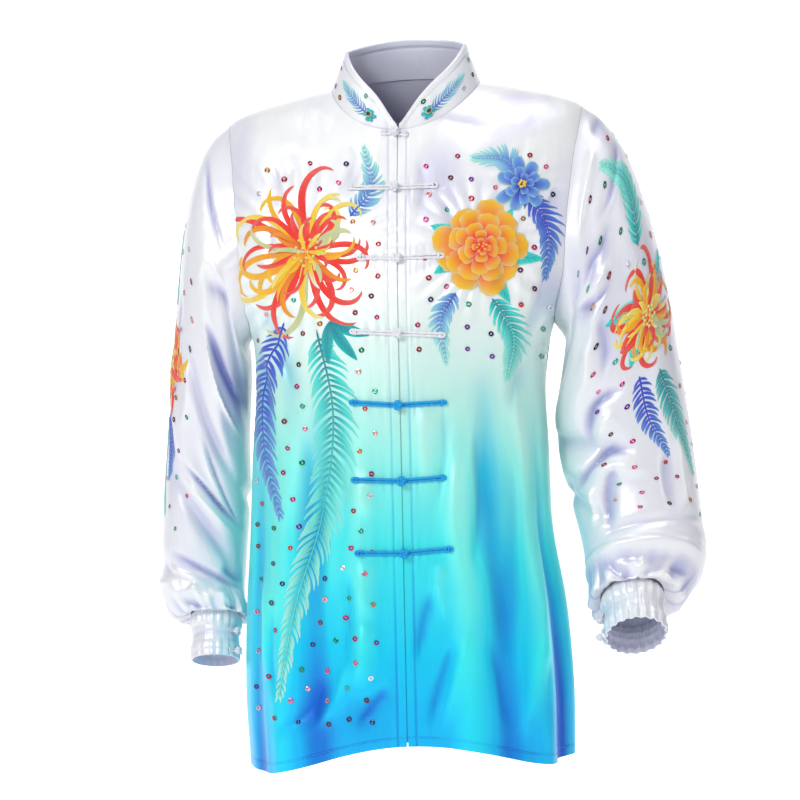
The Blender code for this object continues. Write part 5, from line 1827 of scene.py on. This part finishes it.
def build_sequins(taken, finish):
    """Ring sequins strewn round the embroidery: each a flat ring with rounded edges, turned a
    little at random."""
    random = np.random.default_rng(SEED)
    around, rim = np.arange(RING) * 2 * math.pi / RING, np.arange(RIM) * 2 * math.pi / RIM
    one = np.concatenate([grid_faces(RING, RIM, 0, True),
                          strip_faces((RING - 1) * RIM + np.arange(RIM), np.arange(RIM), True)])
    for name, (points, surface) in taken.items():
        fields = named(SEQUIN_COLUMNS, SEQUIN_FIELDS[name])
        middle = np.concatenate([scattered(field, points, random) for field in fields])
        pick = (random.random(len(middle)) ** 1.4 * len(SEQUIN_TONES)).astype(int)
        wide = SEQUIN_RADIUS * random.uniform(0.9, 1.08, len(middle))
        ring = wide[:, None, None] * (RING_MIDDLE + RING_HALF * np.cos(rim))[None, None, :]
        x = middle[:, 0, None, None] + ring * np.cos(around)[None, :, None]
        z = middle[:, 1, None, None] + ring * np.sin(around)[None, :, None]
        tilt = random.uniform(-0.12, 0.12, (len(middle), 2))
        high = (SEQUIN_HIGH + SEQUIN_THICK * np.sin(rim)[None, None, :]
                + (x - middle[:, 0, None, None]) * tilt[:, 0, None, None]
                + (z - middle[:, 1, None, None]) * tilt[:, 1, None, None])
        here = surface(x.reshape(-1), z.reshape(-1), high.reshape(-1))
        faces = copies(one, len(middle), RING * RIM)
        made = piece(name.replace("embroidery", "sequins"), here, faces, finish,
                     {"tone": np.repeat(np.array(SEQUIN_TONES)[pick], RING * RIM, axis=0)})
        slot_of(name)


def build_stage():
    """A pale floor that curves up into a pale wall behind, and glows as painted light: dimly in front
    and brightly further back.
    """
    turn = np.linspace(0, math.pi / 2, 24)
    y = np.concatenate([[-4.0], SWEEP_Y + SWEEP * np.sin(turn), [SWEEP_Y + SWEEP]])
    z = np.concatenate([[FLOOR], FLOOR + SWEEP * (1 - np.cos(turn)), [4.0]])
    x = np.linspace(-5, 5, 9)
    points = np.stack(np.broadcast_arrays(x[None, :], y[:, None], z[:, None]), axis=-1)
    mesh = bpy.data.meshes.new("floor")
    mesh.from_pydata(points.reshape(-1, 3).tolist(), [], grid_faces(len(y), len(x)).tolist())
    mesh.shade_smooth()
    finish = Finish("floor_paper", {"Roughness": 0.9, "Specular IOR Level": 0.1,
                                    "Emission Strength": 0.8})
    _, y, _ = finish.place()
    # Painted light: the floor glows, dimly in front and brightly further back
    glow = finish.mix((0.35, 0.35, 0.36, 1), (1, 1, 1, 1), y.between(0.2, 1.2))
    finish.feed(finish.shader.inputs["Emission Color"], glow)
    finish.colour(finish.mix((0.92, 0.92, 0.92, 1), (0.96, 0.96, 0.96, 1), finish.noise(3.0)))
    mesh.materials.append(finish.material)
    floor = placed("floor", mesh)


def build_camera():
    """The camera, level with the jacket's middle and turned a little towards its left side."""
    camera = placed("camera", bpy.data.cameras.new("camera"))
    camera.data.lens = CAMERA_LENS
    camera.data.sensor_width = SENSOR
    ahead = np.array([-math.sin(CAMERA_TURN), math.cos(CAMERA_TURN), 0])
    right = np.array([math.cos(CAMERA_TURN), math.sin(CAMERA_TURN), 0])
    place = np.array([0, 0, CAMERA_HEIGHT]) - CAMERA_AWAY * ahead - CAMERA_ASIDE * right
    camera.location = place
    camera.rotation_euler = (math.pi / 2, 0, CAMERA_TURN)
    bpy.context.scene.camera = camera


# Studio lamps: name, place, what each points at, the width of its square, watts and colour
LAMPS = (
    ("lamp_key", (-1.5, -2.85, 1.3), (0, 0, -0.30), 1.1, 62, (1.0, 1.0, 0.99)),
    ("lamp_fill", (2.6, -1.7, 0.5), (0, 0, -0.35), 1.2, 7, (0.93, 0.94, 1.0)),
    ("lamp_top", (0.2, -0.4, 2.2), (0, 0, -0.20), 1.2, 18, (1.0, 1.0, 1.0)),
    ("lamp_back", (0.0, 1.6, 1.6), (0, 0, -0.20), 1.6, 3, (0.97, 0.98, 1.0)),
)
SURROUND = (0.96, 0.96, 1.0, 1)
SURROUND_STRENGTH = 0.30


def build_lights():
    """Large soft square lamps, and an even pale surround."""
    for name, place, target, size, watts, colour in LAMPS:
        lamp = bpy.data.lights.new(name, "AREA")
        lamp.shape = "SQUARE"
        lamp.size = size
        lamp.energy = watts
        lamp.color = colour
        made = placed(name, lamp)
        made.location = place
        away = Vector(place) - Vector(target)
        made.rotation_euler = away.to_track_quat("Z", "Y").to_euler()
    world = bpy.data.worlds.new("surround")
    world.use_nodes = True
    backdrop = world.node_tree.nodes["Background"]
    backdrop.inputs["Color"].default_value = SURROUND
    backdrop.inputs["Strength"].default_value = SURROUND_STRENGTH
    bpy.context.scene.world = world
    bpy.context.scene.view_settings.view_transform = "Standard"


def main():
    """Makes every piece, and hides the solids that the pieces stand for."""
    shaded, white = satin_shaded(), satin_white()
    cord_white = cord_finish("cord_white", rgb(248, 248, 250), rgb(196, 196, 214))
    cord_blue = cord_finish("cord_blue", rgb(0, 178, 238), rgb(0, 116, 196))
    left, right, rear, under = build_body(shaded)
    collar = build_collar(white)
    sleeves = {side: build_sleeve(side, white) for side in SIDE}
    cuffs = {side: build_cuff(side, white) for side in SIDE}
    clothes = {"front_left": left, "front_right": right, "back": rear, "underlap": under,
               "collar": collar}
    for side in SIDE:
        clothes[f"sleeve_{side}"] = sleeves[side]
        clothes[f"cuff_{side}"] = cuffs[side]
    for name, cloth in clothes.items():
        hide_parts(*[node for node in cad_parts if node.startswith(name)])
        slot_of(name)
        kind = name.split("_")[0]
        held = "gathered" if kind == "cuff" else "hung"
    build_frogs(cord_white, cord_blue)
    for side in SIDE:
        build_cuff_knots(side, cord_white)
    build_stitches(shaded, white)
    build_sequins(build_embroidery(thread_finish()), sequin_finish())
    build_stage()
    build_camera()
    build_lights()


main()
